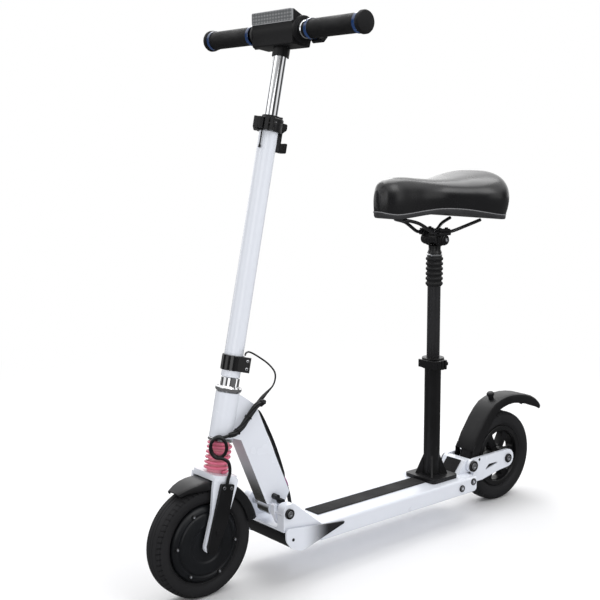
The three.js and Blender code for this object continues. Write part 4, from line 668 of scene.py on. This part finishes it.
nut = {"line": [(14.8, 268.2), (18.2, 268.2), (19, 269), (19, 269.6), (22, 269.6), (23.6, 272.2), (23.6, 275.6),
                (21.2, 278.2), (18.1, 278.2), (17.5, 278.8), (17.5, 293.8), (16.7, 294.6), (14.8, 294.6),
                (14.8, 268.2)], "slotted": range(8, 12), "slots": 6, "slotHalf": 9, "slotDepth": 1.5}


def nutProfile(angle):
    half = 180 / nut["slots"]
    inSlot = abs((degrees(angle) + half) % (2 * half) - half) < nut["slotHalf"]
    return [(radius - (nut["slotDepth"] if inSlot and place in nut["slotted"] else 0), along)
            for place, (radius, along) in enumerate(nut["line"])]


outlines = {
    "grip": [(11.4, 78), (16.9, 78), (17.5, 78.6), (17.5, 86), (16.5, 86.6), (16.5, 197.6), (17.5, 198.1),
             (17.5, 207.6), (18.6, 208.1), (19.5, 209), (19.5, 213.6), (18.4, 215.6), (17.2, 216.1), (0, 216.1)],
    "boss": [(12.2, 55.6), (24.2, 55.6), (24.2, 60.4), (23.6, 61.6), (22.2, 62.2), (18.4, 62.2), (17.6, 61.4),
             (17.6, 60.2), (12.2, 60.2), (12.2, 55.6)],
    "motorFace": [(8.2, 15.3), (8.2, 23.6), (29.8, 23.6), (31.2, 23.9), (32.8, 25.5), (34.4, 26), (44, 25.6),
                  (51, 24.9), (53.6, 24.2), (54.8, 22.6), (56.6, 22), (58.2, 22.7), (59.6, 23.5), (63.8, 22.6),
                  (67.4, 19.6), (69.1, 17.6), (69.4, 16.6), (69.4, 15.3), (8.2, 15.3)],
    "motorBack": [(8.2, 15), (8.2, -23.6), (30, -23.6), (31.8, -24.2), (34, -26), (55.8, -26),
                  (58, -25.6), (66.6, -21.6), (69, -20), (69.4, -18.8), (69.4, 15), (8.2, 15)],
    "steerer": [(11.4, 180.5), (22.2, 180.5), (23, 181.3), (23, 185.2), (22.2, 186), (14, 186), (14, 292.5),
                (13, 293), (13, 359), (11.4, 359.5), (11.4, 180.5)],
    "wheelLip": [(57.3, 8.2), (57.3, 14.2), (58.2, 15.2), (66.6, 15.2), (67.7, 14.2), (67.7, 8.2), (57.3, 8.2)],
    "wheelHub": [(7, 8.1), (22.3, 8.1), (22.3, 25.6), (20.8, 27.1), (16, 27.1), (14.6, 26), (7, 26),
                 (7, 8.1)],
}
onStem, onWheel, onBase = ("steering", "z", "steering"), ("frontAxle", "x", "front_wheel"), ("seat", "z", "base")
turnedPieces = {  # place, axis, body, material, tube or profile, then any CAD node that the piece stands for
    "stemOuterTube": (*onStem, "white", (17, 13.3, 295.2, 756.2), "stem_outer_tube"),
    "stemInnerTube": ("steering", "z", "upper_stem", "chrome", (12.75, 11, 559.2, 892.2), "stem_inner_tube"),
    "steererTube": (*onStem, "chrome", outlines["steerer"], "steerer"),
    "headsetNut": (*onStem, "chrome", nutProfile, "headset_nut"),
    "headTube": ("steering", "z", "neck", "white", (21.5, 18.4, 186.5, 267.7, 1.2)),
    "collarBand": (*onStem, "glossBlack", (20.2, 17.2, 307.1, 334.3, 0.8)),
    "clampBand": (*onStem, "black", (22.7, 17.25, 733.1, 756.9, 1.2)),
    "clampLip": (*onStem, "black", (23.6, 17.25, 750.4, 757.2, 1)),
    "stemBush": (*onStem, "black", (16.1, 13, 758.1, 761.9, 0.6)),
    "handlebarTube": ("head", "x", "upper_stem", "chrome", (11, 9, -214, 214), "handlebar"),
    "motorCover": (*onWheel, "hub", outlines["motorFace"], "front_motor_cover"),
    "motorHousing": (*onWheel, "hub", outlines["motorBack"], "front_hub_motor"),
    "seatPost": ("seat", "z", "seat_column", "postBlack", (13.6, 11.5, 171, 414), "seat_post"),
    "seatTube": (*onBase, "black", (17.15, 14.2, 8.4, 238)),
    "seatClampBand": (*onBase, "black", (23.2, 14.3, 237.9, 259.9, 1.4)),
    "seatRing": ("seatHead", "z", "seat_top", "chrome", (15.8, 11.5, 0.1, 4.9, 1)),
}
for end, (_, turn) in sides.items():
    name = end.lower()
    bar, wheel = spot("head", turn=turn), spot("rearAxle", turn=turn)
    for piece, material, profile, *node in (
            ("Ring", "chrome", (15.7, 11, 62.2, 68.1, 1.2)), ("Boss", "plastic", outlines["boss"]),
            ("Grip", "grip", outlines["grip"], "grip_" + name), ("InnerBand", "blue", (17.8, 12, 78, 86, 0.8)),
            ("OuterBand", "blue", (17.8, 12, 198.1, 206.1, 0.8))):
        turnedPieces[name + piece] = (bar, "x", "upper_stem", material, profile, *node)
    for piece in ("Lip", "Hub"):
        turnedPieces[name + piece] = (wheel, "x", "back_wheel", "rim", outlines["wheel" + piece])
for name, (place, axis, body, material, profile, *node) in turnedPieces.items():
    line = tubeProfile(*profile) if isinstance(profile, tuple) else profile
    count = 128 if material in ("hub", "rim") else 96
    pieceOf(name, turned(line, spot(place), axis, count), material, body, *node)
print("turned pieces ready")


# Tyres with a bead, running grooves and a rounded crown: (share of the height, share of the half width) up the wall,
# then (millimetres under the crown, share of the half width)
tyreRadius = 100
tyreSizes = {"front": ("frontAxle", 70, 23, "front_wheel"), "rear": ("rearAxle", 68, 20, "back_wheel")}
tyreWall = [(0, 0.56), (0.08, 0.72), (0.13, 0.74), (0.15, 0.8), (0.24, 0.9), (0.38, 0.975), (0.56, 1),
            (0.7, 0.97), (0.8, 0.915), (0.81, 0.88), (0.835, 0.88), (0.845, 0.89), (0.91, 0.8), (0.955, 0.68),
            (0.94, 0.62), (0.965, 0.59)]
tyreCrown = [(0.3, 0.46), (0, 0.24), (0.9, 0.18), (0.9, 0.12), (0, 0.07)]


def makeTyre(end, place, bead, half, body):
    points = [(bead + (tyreRadius - bead) * share, width * half) for share, width in tyreWall]
    points += [(tyreRadius - under, width * half) for under, width in tyreCrown]
    points += [(radius, -along) for radius, along in reversed(points)]
    mesh = turned(points + [points[0]], places[place], "x", 160)
    pieceOf(end + "Tyre", mesh, end + "Tyre", body, end + "_tyre", smooth=30)


for end, size in tyreSizes.items():
    makeTyre(end, *size)
print("tyres ready")


# Spring wire, wound round over two sleeves that slide in each other
springSleeves = {"lower": (16.1, 14.6, 124.6, 153, "fork_slider"), "upper": (17.1, 16.3, 150, 180.4, "steering")}
springWire = {"radius": 20, "wire": 2.7, "length": 56, "mainTurns": 4.5, "endTurns": 0.75, "endGap": 0.7,
              "lift": 0.3, "perTurn": 28}


def makeSpring():
    for name, (outer, inner, low, high, body) in springSleeves.items():
        sleeve = turned(tubeProfile(outer, inner, low, high, 0.5), places["steering"])
        pieceOf(name + "SpringSleeve", sleeve, "palePink", body)
    size = springWire
    endTurns, mainTurns = size["endTurns"], size["mainTurns"]
    endRise = (2 * size["wire"] + size["endGap"]) * endTurns
    mainRise = size["length"] - 2 * (size["wire"] + size["lift"]) - 2 * endRise
    turns = mainTurns + 2 * endTurns
    steps = round(turns * size["perTurn"])
    base = places["steering"].inverted()
    lowest = min((base @ vertex.co).z for vertex in cad["suspension_spring"].data.vertices) / mm
    line = []
    for step in range(steps + 1):
        turn = turns * step / steps
        rise = endRise * (min(turn, endTurns) + max(0, turn - endTurns - mainTurns)) / endTurns
        rise += mainRise * min(max(turn - endTurns, 0), mainTurns) / mainTurns
        angle = tau * turn
        point = (size["radius"] * cos(angle), size["radius"] * sin(angle), lowest + size["wire"] + rise)
        line.append(places["steering"] @ (Vector(point) * mm))
    spring = pieceOf("suspensionSpring", tubeAlong(line, size["wire"] * mm, 12), "pink", node="suspension_spring",
                     smooth=50)
    axis = places["steering"].to_3x3() @ up
    line[0] + axis * (line[-1] - line[0]).dot(axis)
    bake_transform(spring)


makeSpring()


# Ribbed rubber boot under the saddle: each rib is (share of its height, share of its reach)
boot = {"low": 501.082, "length": 61.7, "ribs": 6, "rib": 18, "valley": 15.2, "inner": 13.9,
        "bends": (0.004, 0.058)}  # metres above its foot
bootRib = [(0, 0), (0.12, 0.1), (0.24, 0.7), (0.36, 0.95), (0.5, 1), (0.64, 0.95), (0.76, 0.7), (0.88, 0.1)]


def makeBoot():
    size = boot
    pitch = size["length"] / size["ribs"]
    outside = [(size["valley"] + (size["rib"] - size["valley"]) * reach, (rib + share) * pitch)
               for rib in range(size["ribs"]) for share, reach in bootRib]
    profile = [(size["inner"], 0), *outside, (size["valley"], size["length"]), (size["inner"], size["length"])]
    place = Matrix.Translation((0, seatMiddle * mm, size["low"] * mm))
    made = pieceOf("seatBoot", turned(profile + [profile[0]], place, "z", 48), "rubber", node="seat_bellows")
    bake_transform(made)


makeBoot()


# Padded saddle: place along it, half width, edge height and top height, nose first
saddle = {"length": 300, "forward": 165, "halfWidth": 116, "crown": 80, "tuck": 0.16, "squareness": 0.72,
          "across": 48, "along": 72, "under": 12, "fill": 0.8}
saddleLine = [(0, 0.1, 0.17, 0.7), (0.035, 0.2, 0.13, 0.88), (0.1, 0.285, 0.1, 0.98), (0.21, 0.32, 0.12, 1),
              (0.35, 0.37, 0.17, 0.96), (0.48, 0.48, 0.2, 0.93), (0.61, 0.7, 0.17, 0.95), (0.73, 0.91, 0.09, 1.02),
              (0.84, 1, 0.02, 1.09), (0.92, 0.95, 0, 1.12), (0.97, 0.78, 0, 1.06), (1, 0.5, 0.03, 0.85)]


def saddleShare(place):
    rows = saddleLine
    index = max(i for i in range(len(rows) - 1) if rows[i][0] <= place)
    before, start, end = rows[max(index - 1, 0)], rows[index], rows[index + 1]
    after = rows[min(index + 2, len(rows) - 1)]
    step = end[0] - start[0]
    share = (place - start[0]) / step
    found = []
    for column in range(1, 4):
        a, b = start[column], end[column]
        first = (b - before[column]) / (end[0] - before[0]) * step if index else b - a
        last = (after[column] - a) / (after[0] - start[0]) * step
        found.append((2 * share ** 3 - 3 * share ** 2 + 1) * a + (share ** 3 - 2 * share ** 2 + share) * first
                     + (3 * share ** 2 - 2 * share ** 3) * b + (share ** 3 - share ** 2) * last)
    return found


def saddleStations():  # how far back, half width, edge height and top height, in millimetres
    for step in range(saddle["along"] + 1):
        place = 0.5 - 0.5 * cos(pi * step / saddle["along"])
        width, edge, top = saddleShare(place)
        yield (seatMiddle - saddle["forward"] + place * saddle["length"], width * saddle["halfWidth"],
               edge * saddle["crown"], top * saddle["crown"])


def squared(value):
    return copysign(abs(value) ** saddle["squareness"], value)


def makeSaddle(low):
    rings = []
    for y, half, edge, top in saddleStations():
        ring = []
        for step in range(saddle["across"] + 1):
            angle = pi * step / saddle["across"]
            rise = squared(sin(angle))
            x = half * (1 - saddle["tuck"] * (1 - rise) ** 2) * squared(cos(angle))
            ring.append(at(x, y, low + edge + (top - edge) * rise))
        under = [ring[-1].lerp(ring[0], share / saddle["under"]) for share in range(1, saddle["under"])]
        for point in under:
            point.z = ring[0].z
        rings.append(ring + under)
    made = pieceOf("saddleCushion", ringsToMesh(rings, capped=True), "vinyl", "seat_top", "saddle_cushion", smooth=60)


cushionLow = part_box("saddle_cushion")[0].z / mm
makeSaddle(cushionLow)


# Clamp head: a neck, a toothed cross barrel, and two pairs of jaws that bolts close on the rails
seatClamp = {
    "neck": [(0, -12), (11.2, -12), (11.2, 4.5), (14.6, 5.2), (15.2, 6.4), (14.4, 9), (12.4, 14), (12.8, 22),
             (0, 24)],
    "barrel": [(0, -31.5), (9, -31.5), (10, -30.5), (10, -27), (11.6, -26.4), (11.6, -18), (13.4, -17.4),
               (13.4, -13.4), (12.2, -12.6), (12.2, -6), (11.2, -5), (11.2, 0)],
    "barrelHeight": 35, "teeth": 26, "tooth": 0.45, "toothReach": 13, "bridge": ((-17, -9, 41), (17, 9, 47.5), 2.2),
    "jaws": [((15.5, -17, 43.5), (30, 17, 50.8), 2.4), ((16.5, -15, 52.6), (29.5, 15, 57.4), 1.8)],
    "arm": ((15, -6, 30), (29, 6, 45), 2), "bolts": [(23, -9.5, 57.1), (23, 9.5, 57.1)],
    "boltHead": (3.4, 2.6, 1.7, 1.4, 0.4, 24),
}


def toothedBarrel(angle):
    size = seatClamp
    lift = size["tooth"] * sin(angle * size["teeth"])
    line = size["barrel"] + [(radius, -along) for radius, along in reversed(size["barrel"][:-1])]
    return [(radius + (lift if radius > size["toothReach"] else 0), along) for radius, along in line]


def makeSeatClamp():
    size = seatClamp
    place = places["seatHead"]
    mesh = turned(size["neck"], place, "z", 48)
    join(mesh, turned(toothedBarrel, spot(place, z=size["barrelHeight"]), "x", 156),
         roundedBox(place, *size["bridge"]))
    for side in (-1, 1):
        for low, high, bevel in [*size["jaws"], size["arm"]]:
            near, far = sorted((side * low[0], side * high[0]))
            join(mesh, roundedBox(place, (near, *low[1:]), (far, *high[1:]), bevel))
        for x, y, z in size["bolts"]:
            join(mesh, screwHead(spot(place, side * x, y, z, -90, "Y"), *size["boltHead"]))
    pieceOf("seatHead", mesh, "black", "seat_top", "seat_head")


makeSeatClamp()


# Pan under the cushion, as (outward, upward) steps from its edge, the piping cord and the wire rails
pan = {"side": [(0, 0), (0.2, -2), (0.1, -5), (-0.96, -7.8), (-2.4, -9), (-6.4, -9)]}
piping = {"radius": 0.95, "proud": 0.5, "rise": 0.4}
rails = {"radius": 3.5, "place": (0, seatMiddle, 614.832), "nose": (0, -108, 28.9),
         "side": [(42, 92, 20.5), (36.1, 60.7, 11.3), (23, 30, 0), (23, 15, 0), (23, -15, 0), (23, -30, 0),
                  (18.4, -67, 19.6), (12, -102, 28)]}


def makePan(low):
    rings, left, right = [], [], []
    for y, half, edge, _ in saddleStations():
        half *= 1 - saddle["tuck"]
        side = [(half + out, low + edge + rise) for out, rise in pan["side"]]
        rings.append([at(x, y, z) for x, z in side + [(-x, z) for x, z in reversed(side)]])
        for cord, x in ((left, half + piping["proud"]), (right, -half - piping["proud"])):
            cord.append(at(x, y, low + edge + piping["rise"]))
    pieceOf("saddlePan", ringsToMesh(rings, capped=True), "shell", "seat_top", "saddle_base", smooth=50)
    line = smoothLine([*right, *reversed(left), right[0]], 3)
    pieceOf("saddlePiping", tubeAlong(line, piping["radius"] * mm, 8), "piping", "seat_top")


def makeRails():
    points = [*rails["side"], rails["nose"], *[(-x, y, z) for x, y, z in reversed(rails["side"])]]
    line = smoothLine([(Vector(point) + Vector(rails["place"])) * mm for point in points], 8)
    pieceOf("saddleRails", tubeAlong(line, rails["radius"] * mm, 16), "glossBlack", "seat_top", "seat_rails")


makePan(cushionLow)
makeRails()
print("saddle ready")


# Control cables, in millimetres from the front axle's middle line and the floor
cableOrigin = (0, -418.597, -0.214)
routes = {
    "stemCable": [(23, 89.5, 425.4), (22, 92.5, 429.5), (17, 104, 429), (9, 128, 417), (3, 158, 397), (0, 175, 377),
                  (0, 171, 357), (0, 152, 342), (0, 141, 333.5), (0, 131.3, 325)],
    "neckCable": [(0, 130.9, 324.3), (0, 127.6, 320.4), (1.5, 128.4, 315.2), (4.5, 137, 305.6), (9, 161.5, 250.8),
                  (5, 186.2, 190.7), (0.8, 191, 175.4), (0, 194.5, 167.5), (0, 199, 158), (0, 203, 147),
                  (0, 207, 130), (0, 211, 104.5)],
    "cableHarness": [(18, 134, 333), (24.5, 127, 335), (26, 114, 333), (26.5, 98, 320), (28, 84, 306.5),
                     (29.6, 71, 297), (30.2, 59.5, 291.2), (28.05, 48.95, 288.6)],
    "motorCable": [(28.3, 26.2, 252), (33, 31, 251.2), (38.4, 39, 244), (39.5, 41, 228), (39.5, 36.8, 214),
                   (39.5, 34.8, 206.6)],
}
cableRadii = {"stemCable": 1.6, "neckCable": 3.6, "motorCable": 3, "cableCoil": 3}
cableBodies = {"stemCable": ("stem_cable", "steering", "neck"), "neckCable": ("neck_cable", "neck", "base"),
               "cableHarness": ("cable_harness", "neck", "steering"),
               "motorCable": ("motor_cable", "steering", "fork_slider")}
sleeve = {"radius": 3.7, "from": 0.7, "over": 0.12}  # heat-shrunk over the stem cable's lower end
grommet = {"radius": 4.8, "under": (0.56, 0.74), "points": (59, 83), "proud": 0.5, "ends": 1.1}  # at the deck
coil = {"centre": (23.5, 29, 270), "across": 14, "tall": 18, "turns": 1.6, "pitch": 6.9, "start": 62, "perTurn": 24,
        "along": (0.643, 0.766, 0), "normal": (0.766, -0.643, 0), "lead": (4.2, 10.5, 2.5)}


def cableLine(points, steps=10):
    return smoothLine([(Vector(point) + Vector(cableOrigin)) * mm for point in points], steps)


def cableRadius(name, share):
    plain = cableRadii[name]
    if name == "stemCable":
        return plain + (sleeve["radius"] - plain) * min(max((share - sleeve["from"]) / sleeve["over"], 0), 1)
    low, high = grommet["under"]
    return grommet["radius"] if name == "neckCable" and low < share < high else plain


# Strands in a slow twist round a middle line, drawn in at both ends, every other one thinner
strands = {"thick": 2.3, "thin": 0.86, "out": 3.5, "count": 5, "core": 2.4, "twist": 0.9, "drawIn": 0.7}


def bundle(line):
    size = strands
    mesh = tubeAlong(line, size["core"] * mm, 12)
    across = acrossLine(line, up)
    for strand in range(size["count"]):
        path = []
        for place, (point, (side, other)) in enumerate(zip(line, across)):
            share = place / (len(line) - 1)
            turn = tau * (strand / size["count"] + size["twist"] * share)
            out = size["out"] * (size["drawIn"] + (1 - size["drawIn"]) * sin(pi * share) ** 0.5)
            path.append(point + (side * cos(turn) + other * sin(turn)) * out * mm)
        join(mesh, tubeAlong(path, size["thick"] * mm * (size["thin"] if strand % 2 else 1), 10))
    return mesh


def bend(thing):
    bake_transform(thing)


def makeCables():
    for name, (node, first, last) in cableBodies.items():
        line = cableLine(routes[name])
        if name == "cableHarness":
            mesh = bundle(line)
        else:
            radii = [cableRadius(name, place / (len(line) - 1)) * mm for place in range(len(line))]
            mesh = tubeAlong(line, radii, 16)
        bend(pieceOf(name, mesh, "cable", node=node, smooth=60))


def makeGrommet():
    line = cableLine(routes["neckCable"])
    part = line[slice(*grommet["points"])]
    swell = [(grommet["radius"] + grommet["proud"] - grommet["ends"] * abs(2 * place / (len(part) - 1) - 1) ** 3)
             * mm for place in range(len(part))]
    bend(pieceOf("neckGrommet", tubeAlong(part, swell, 16), "purple"))


def makeCoil():
    size = coil
    centre, along, normal, lead = [Vector(size[key]) for key in ("centre", "along", "normal", "lead")]
    loops = []
    for step in range(round(size["turns"] * size["perTurn"]) + 1):
        turn = step / size["perTurn"]
        angle = radians(size["start"]) + tau * turn
        loops.append(centre + along * size["across"] * cos(angle)
                     + normal * size["pitch"] * (turn - size["turns"] / 2) + up * size["tall"] * sin(angle))
    line = cableLine([loops[0] + lead, *loops], 4)
    pieceOf("cableCoil", tubeAlong(line, cableRadii["cableCoil"] * mm, 14), "cable", "steering", "cable_coil",
            smooth=60)


makeCables()
makeGrommet()
makeCoil()


# Ties round the harness, each a band with a lock and a cut tail, and two cable adjusters at its top
ties = {"at": (0.22, 0.5, 0.8), "radius": 6.1, "thick": 0.9, "tailFrom": 5.1, "tail": 9, "tailThick": 0.8,
        "tailLift": 0.2, "lock": ((4.5, -2.2, -2), (7.9, 1.8, 2), 0.5, 2)}
adjusters = {"at": (0.05, 0.12), "out": 6.2, "profile": [(0, -6), (1.6, -6), (1.6, -2), (2.9, -1.6), (2.9, 3.2),
                                                         (2.2, 4), (1.2, 4), (1.2, 7), (0, 7)]}


def harnessPlace(line, share):  # its Z axis runs along the harness
    step = round(share * (len(line) - 2)) or 1
    onward = heading(line, step)
    side = onward.cross(up).normalized()
    return Matrix.Translation(line[step]) @ Matrix((side, onward.cross(side), onward)).transposed().to_4x4()


def makeTies():
    line = cableLine(routes["cableHarness"])
    bands, fittings = bmesh.new(), bmesh.new()
    for place in [harnessPlace(line, share) for share in ties["at"]]:
        circle = [place @ (Vector((cos(turn), sin(turn), 0)) * ties["radius"] * mm)
                  for turn in fullTurn(24)]
        tail = [place @ at(ties["tailFrom"], rise, ties["tailLift"] * rise)
                for rise in (0, ties["tail"] * 0.5, ties["tail"])]
        join(bands, tubeAlong([*circle, circle[0]], ties["thick"] * mm, 8, capped=False),
             tubeAlong(tail, ties["tailThick"] * mm, 8), roundedBox(place, *ties["lock"]))
    for share in adjusters["at"]:
        join(fittings, turned(adjusters["profile"], spot(harnessPlace(line, share), adjusters["out"]), "z", 24))
    for name, mesh, material in (("harnessTies", bands, "cable"), ("cableAdjusters", fittings, "steel")):
        bend(pieceOf(name, mesh, material))


makeTies()
print("cables ready")


# Fine seam where the gusset plate meets the head tube, and a dark web in each rear arm's window
seam = {"points": [(-342.6, 345.5), (-346.5, 325), (-350.8, 302), (-355.6, 277.5)], "x": 17.05, "radius": 0.45}
armWeb = {"outline": [(54.5, -4.4), (97.5, -5.9), (34.8, -19.8)], "low": 33.2, "high": 35}
for end, (side, _) in sides.items():
    line = smoothLine([at(side * seam["x"], y, z) for y, z in seam["points"]], 4)
    pieceOf("gussetSeam" + end, tubeAlong(line, seam["radius"] * mm, 8), "seam", "neck")
for end, (side, _) in sides.items():
    rings = [[places["arm"] @ at(side * x, y, z) for y, z in armWeb["outline"]]
             for x in (armWeb["low"], armWeb["high"])]
    pieceOf("armWeb" + end, ringsToMesh(rings, capped=True), "plastic", "swing_arm")


# Bolts on both sides, dark collars round bright heads: place, x, y, z, radius, proud, node that they are on
sideBolts = {
    "pivotBolt": ("deck", 60.1, -79, 38, 9.4, 5.1, "fold_pivot_bolt"),
    "frontBlockBolt": ("deck", 62.2, 389.5, -16.8, 7.3, 2.9, "rear_block"),
    "rearBlockBolt": ("deck", 61.6, 425.8, -9.6, 7.3, 2.9, "rear_block"),
    "armBolt": ("arm", 38.2, 0, 0, 11.8, 5.1, "rear_arm_bolt"),
    "rearAxleNut": ("rearAxle", 38.2, 0, 0, 9.8, 4.1, "rear_axle"),
    "seatHeadBolt": ("seatHead", 31.4, 0, 35, 6.6, 2.4, "seat_head"),
}
for name, (place, x, y, z, radius, proud, node) in sideBolts.items():
    for end, (side, turn) in sides.items():
        ringedBolt(name + end, spot(place, side * x, y, z, turn), cad[node]["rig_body"], radius, proud)

hubBolts = {"count": 6, "circle": 61.4, "phase": 115, "seat": 22.8, "radius": 4.1, "proud": 3.2}
for step in range(hubBolts["count"]):
    angle = radians(hubBolts["phase"] + 360 * step / hubBolts["count"])
    place = spot("frontAxle", hubBolts["seat"], hubBolts["circle"] * cos(angle),
                 hubBolts["circle"] * sin(angle))
    ringedBolt("hubBolt" + str(step + 1), place, "front_wheel", hubBolts["radius"], hubBolts["proud"])

# Single screws: place, radius, height, socket, material, and the node that they are on
socketDepth, screwBevel = 0.8, 0.4
collarSide = spot("steering", turn=-40)
screws = {
    "forkCoverFront": (spot("steering", 41.9, -7, 104.5), 3.1, 1.3, 1.5, "steel", "fork_cover"),
    "forkCoverRear": (spot("steering", 41.9, 8.4, 104.5), 3.1, 1.3, 1.5, "steel", "fork_cover"),
    "forkCoverBoss": (spot("steering", 41.9, -5, 26), 5.2, 1.2, 2.6, "plastic", "fork_cover"),
    "collarUpper": (spot(collarSide, 15.9, 27.1, 327.7), 2.8, 2.1, 1.3, "steel", "stem_collar"),
    "collarLower": (spot(collarSide, 15.9, 27.1, 313.7), 2.8, 2.1, 1.3, "steel", "stem_collar"),
    "coverLeft": (spot("deck", 65.9, -74, -11), 3, 1, 0, "rubber", "side_cover_left"),
    "coverRight": (spot("deck", -65.9, -74, -11, 180), 3, 1, 0, "rubber", "side_cover_right"),
}
for name, (place, radius, tall, socket, material, node) in screws.items():
    head = screwHead(place, radius, tall, socket, socketDepth, screwBevel)
    pieceOf(name + "Screw", head, material, cad[node]["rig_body"])
print("bolts ready")


# A rounded rectangular frame on a flat face, from (outward, height) pairs round its opening
cornerSteps = 6


def framed(place, halfX, low, high, corner, profile):
    rings = []
    for x, y, first in ((halfX, low, -90), (halfX, high, 0), (-halfX, high, 90), (-halfX, low, 180)):
        centre = Vector((x - copysign(corner, x), y + (corner if y == low else -corner), 0))
        for step in range(cornerSteps + 1):
            angle = radians(first + 90 * step / cornerSteps)
            out = Vector((cos(angle), sin(angle), 0))
            rings.append([place @ ((centre + out * (corner + reach) + up * height) * mm)
                          for reach, height in profile])
    return profilesToMesh(rings)


# A flat face of the head whose Y axis runs between two (y, z) corners and whose Z axis looks out
def headPlace(start, end):
    onward = (Vector(end) - Vector(start)).normalized()
    columns = Matrix(((1, 0, 0), (0, onward.x, onward.y), (0, -onward.y, onward.x))).transposed()
    return places["head"] @ Matrix.Translation(at(0, *start)) @ columns.to_4x4()


headFaceHigh = 60.806
headTrim = {  # face, half width, low and high edge, corner radius, profile and material
    "windowFrame": (headPlace((-17, -28.2), (-30, 31.2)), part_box("headlight_lens")[1].x / mm, headFaceHigh - 22,
                    headFaceHigh - 2, 2.5, [(-0.6, -1), (-0.6, 0.5), (-0.2, 0.9), (0.3, 0.9), (0.7, 0.4), (0.7, -1),
                                            (-0.6, -1)], "frameGrey"),
    "displayBezel": (headPlace((-30, 31.2), (24, 15.6)), 23, 10, 44, 3, [
        (0.1, -1), (0.1, 0.4), (0.7, 0.8), (1.8, 0.8), (2.4, 0.2), (2.4, -1), (0.1, -1)], "glossBlack"),
}
for name, (place, half, low, high, corner, profile, material) in headTrim.items():
    pieceOf(name, framed(place, half, low, high, corner, profile), material, "upper_stem")
print("head trim ready")
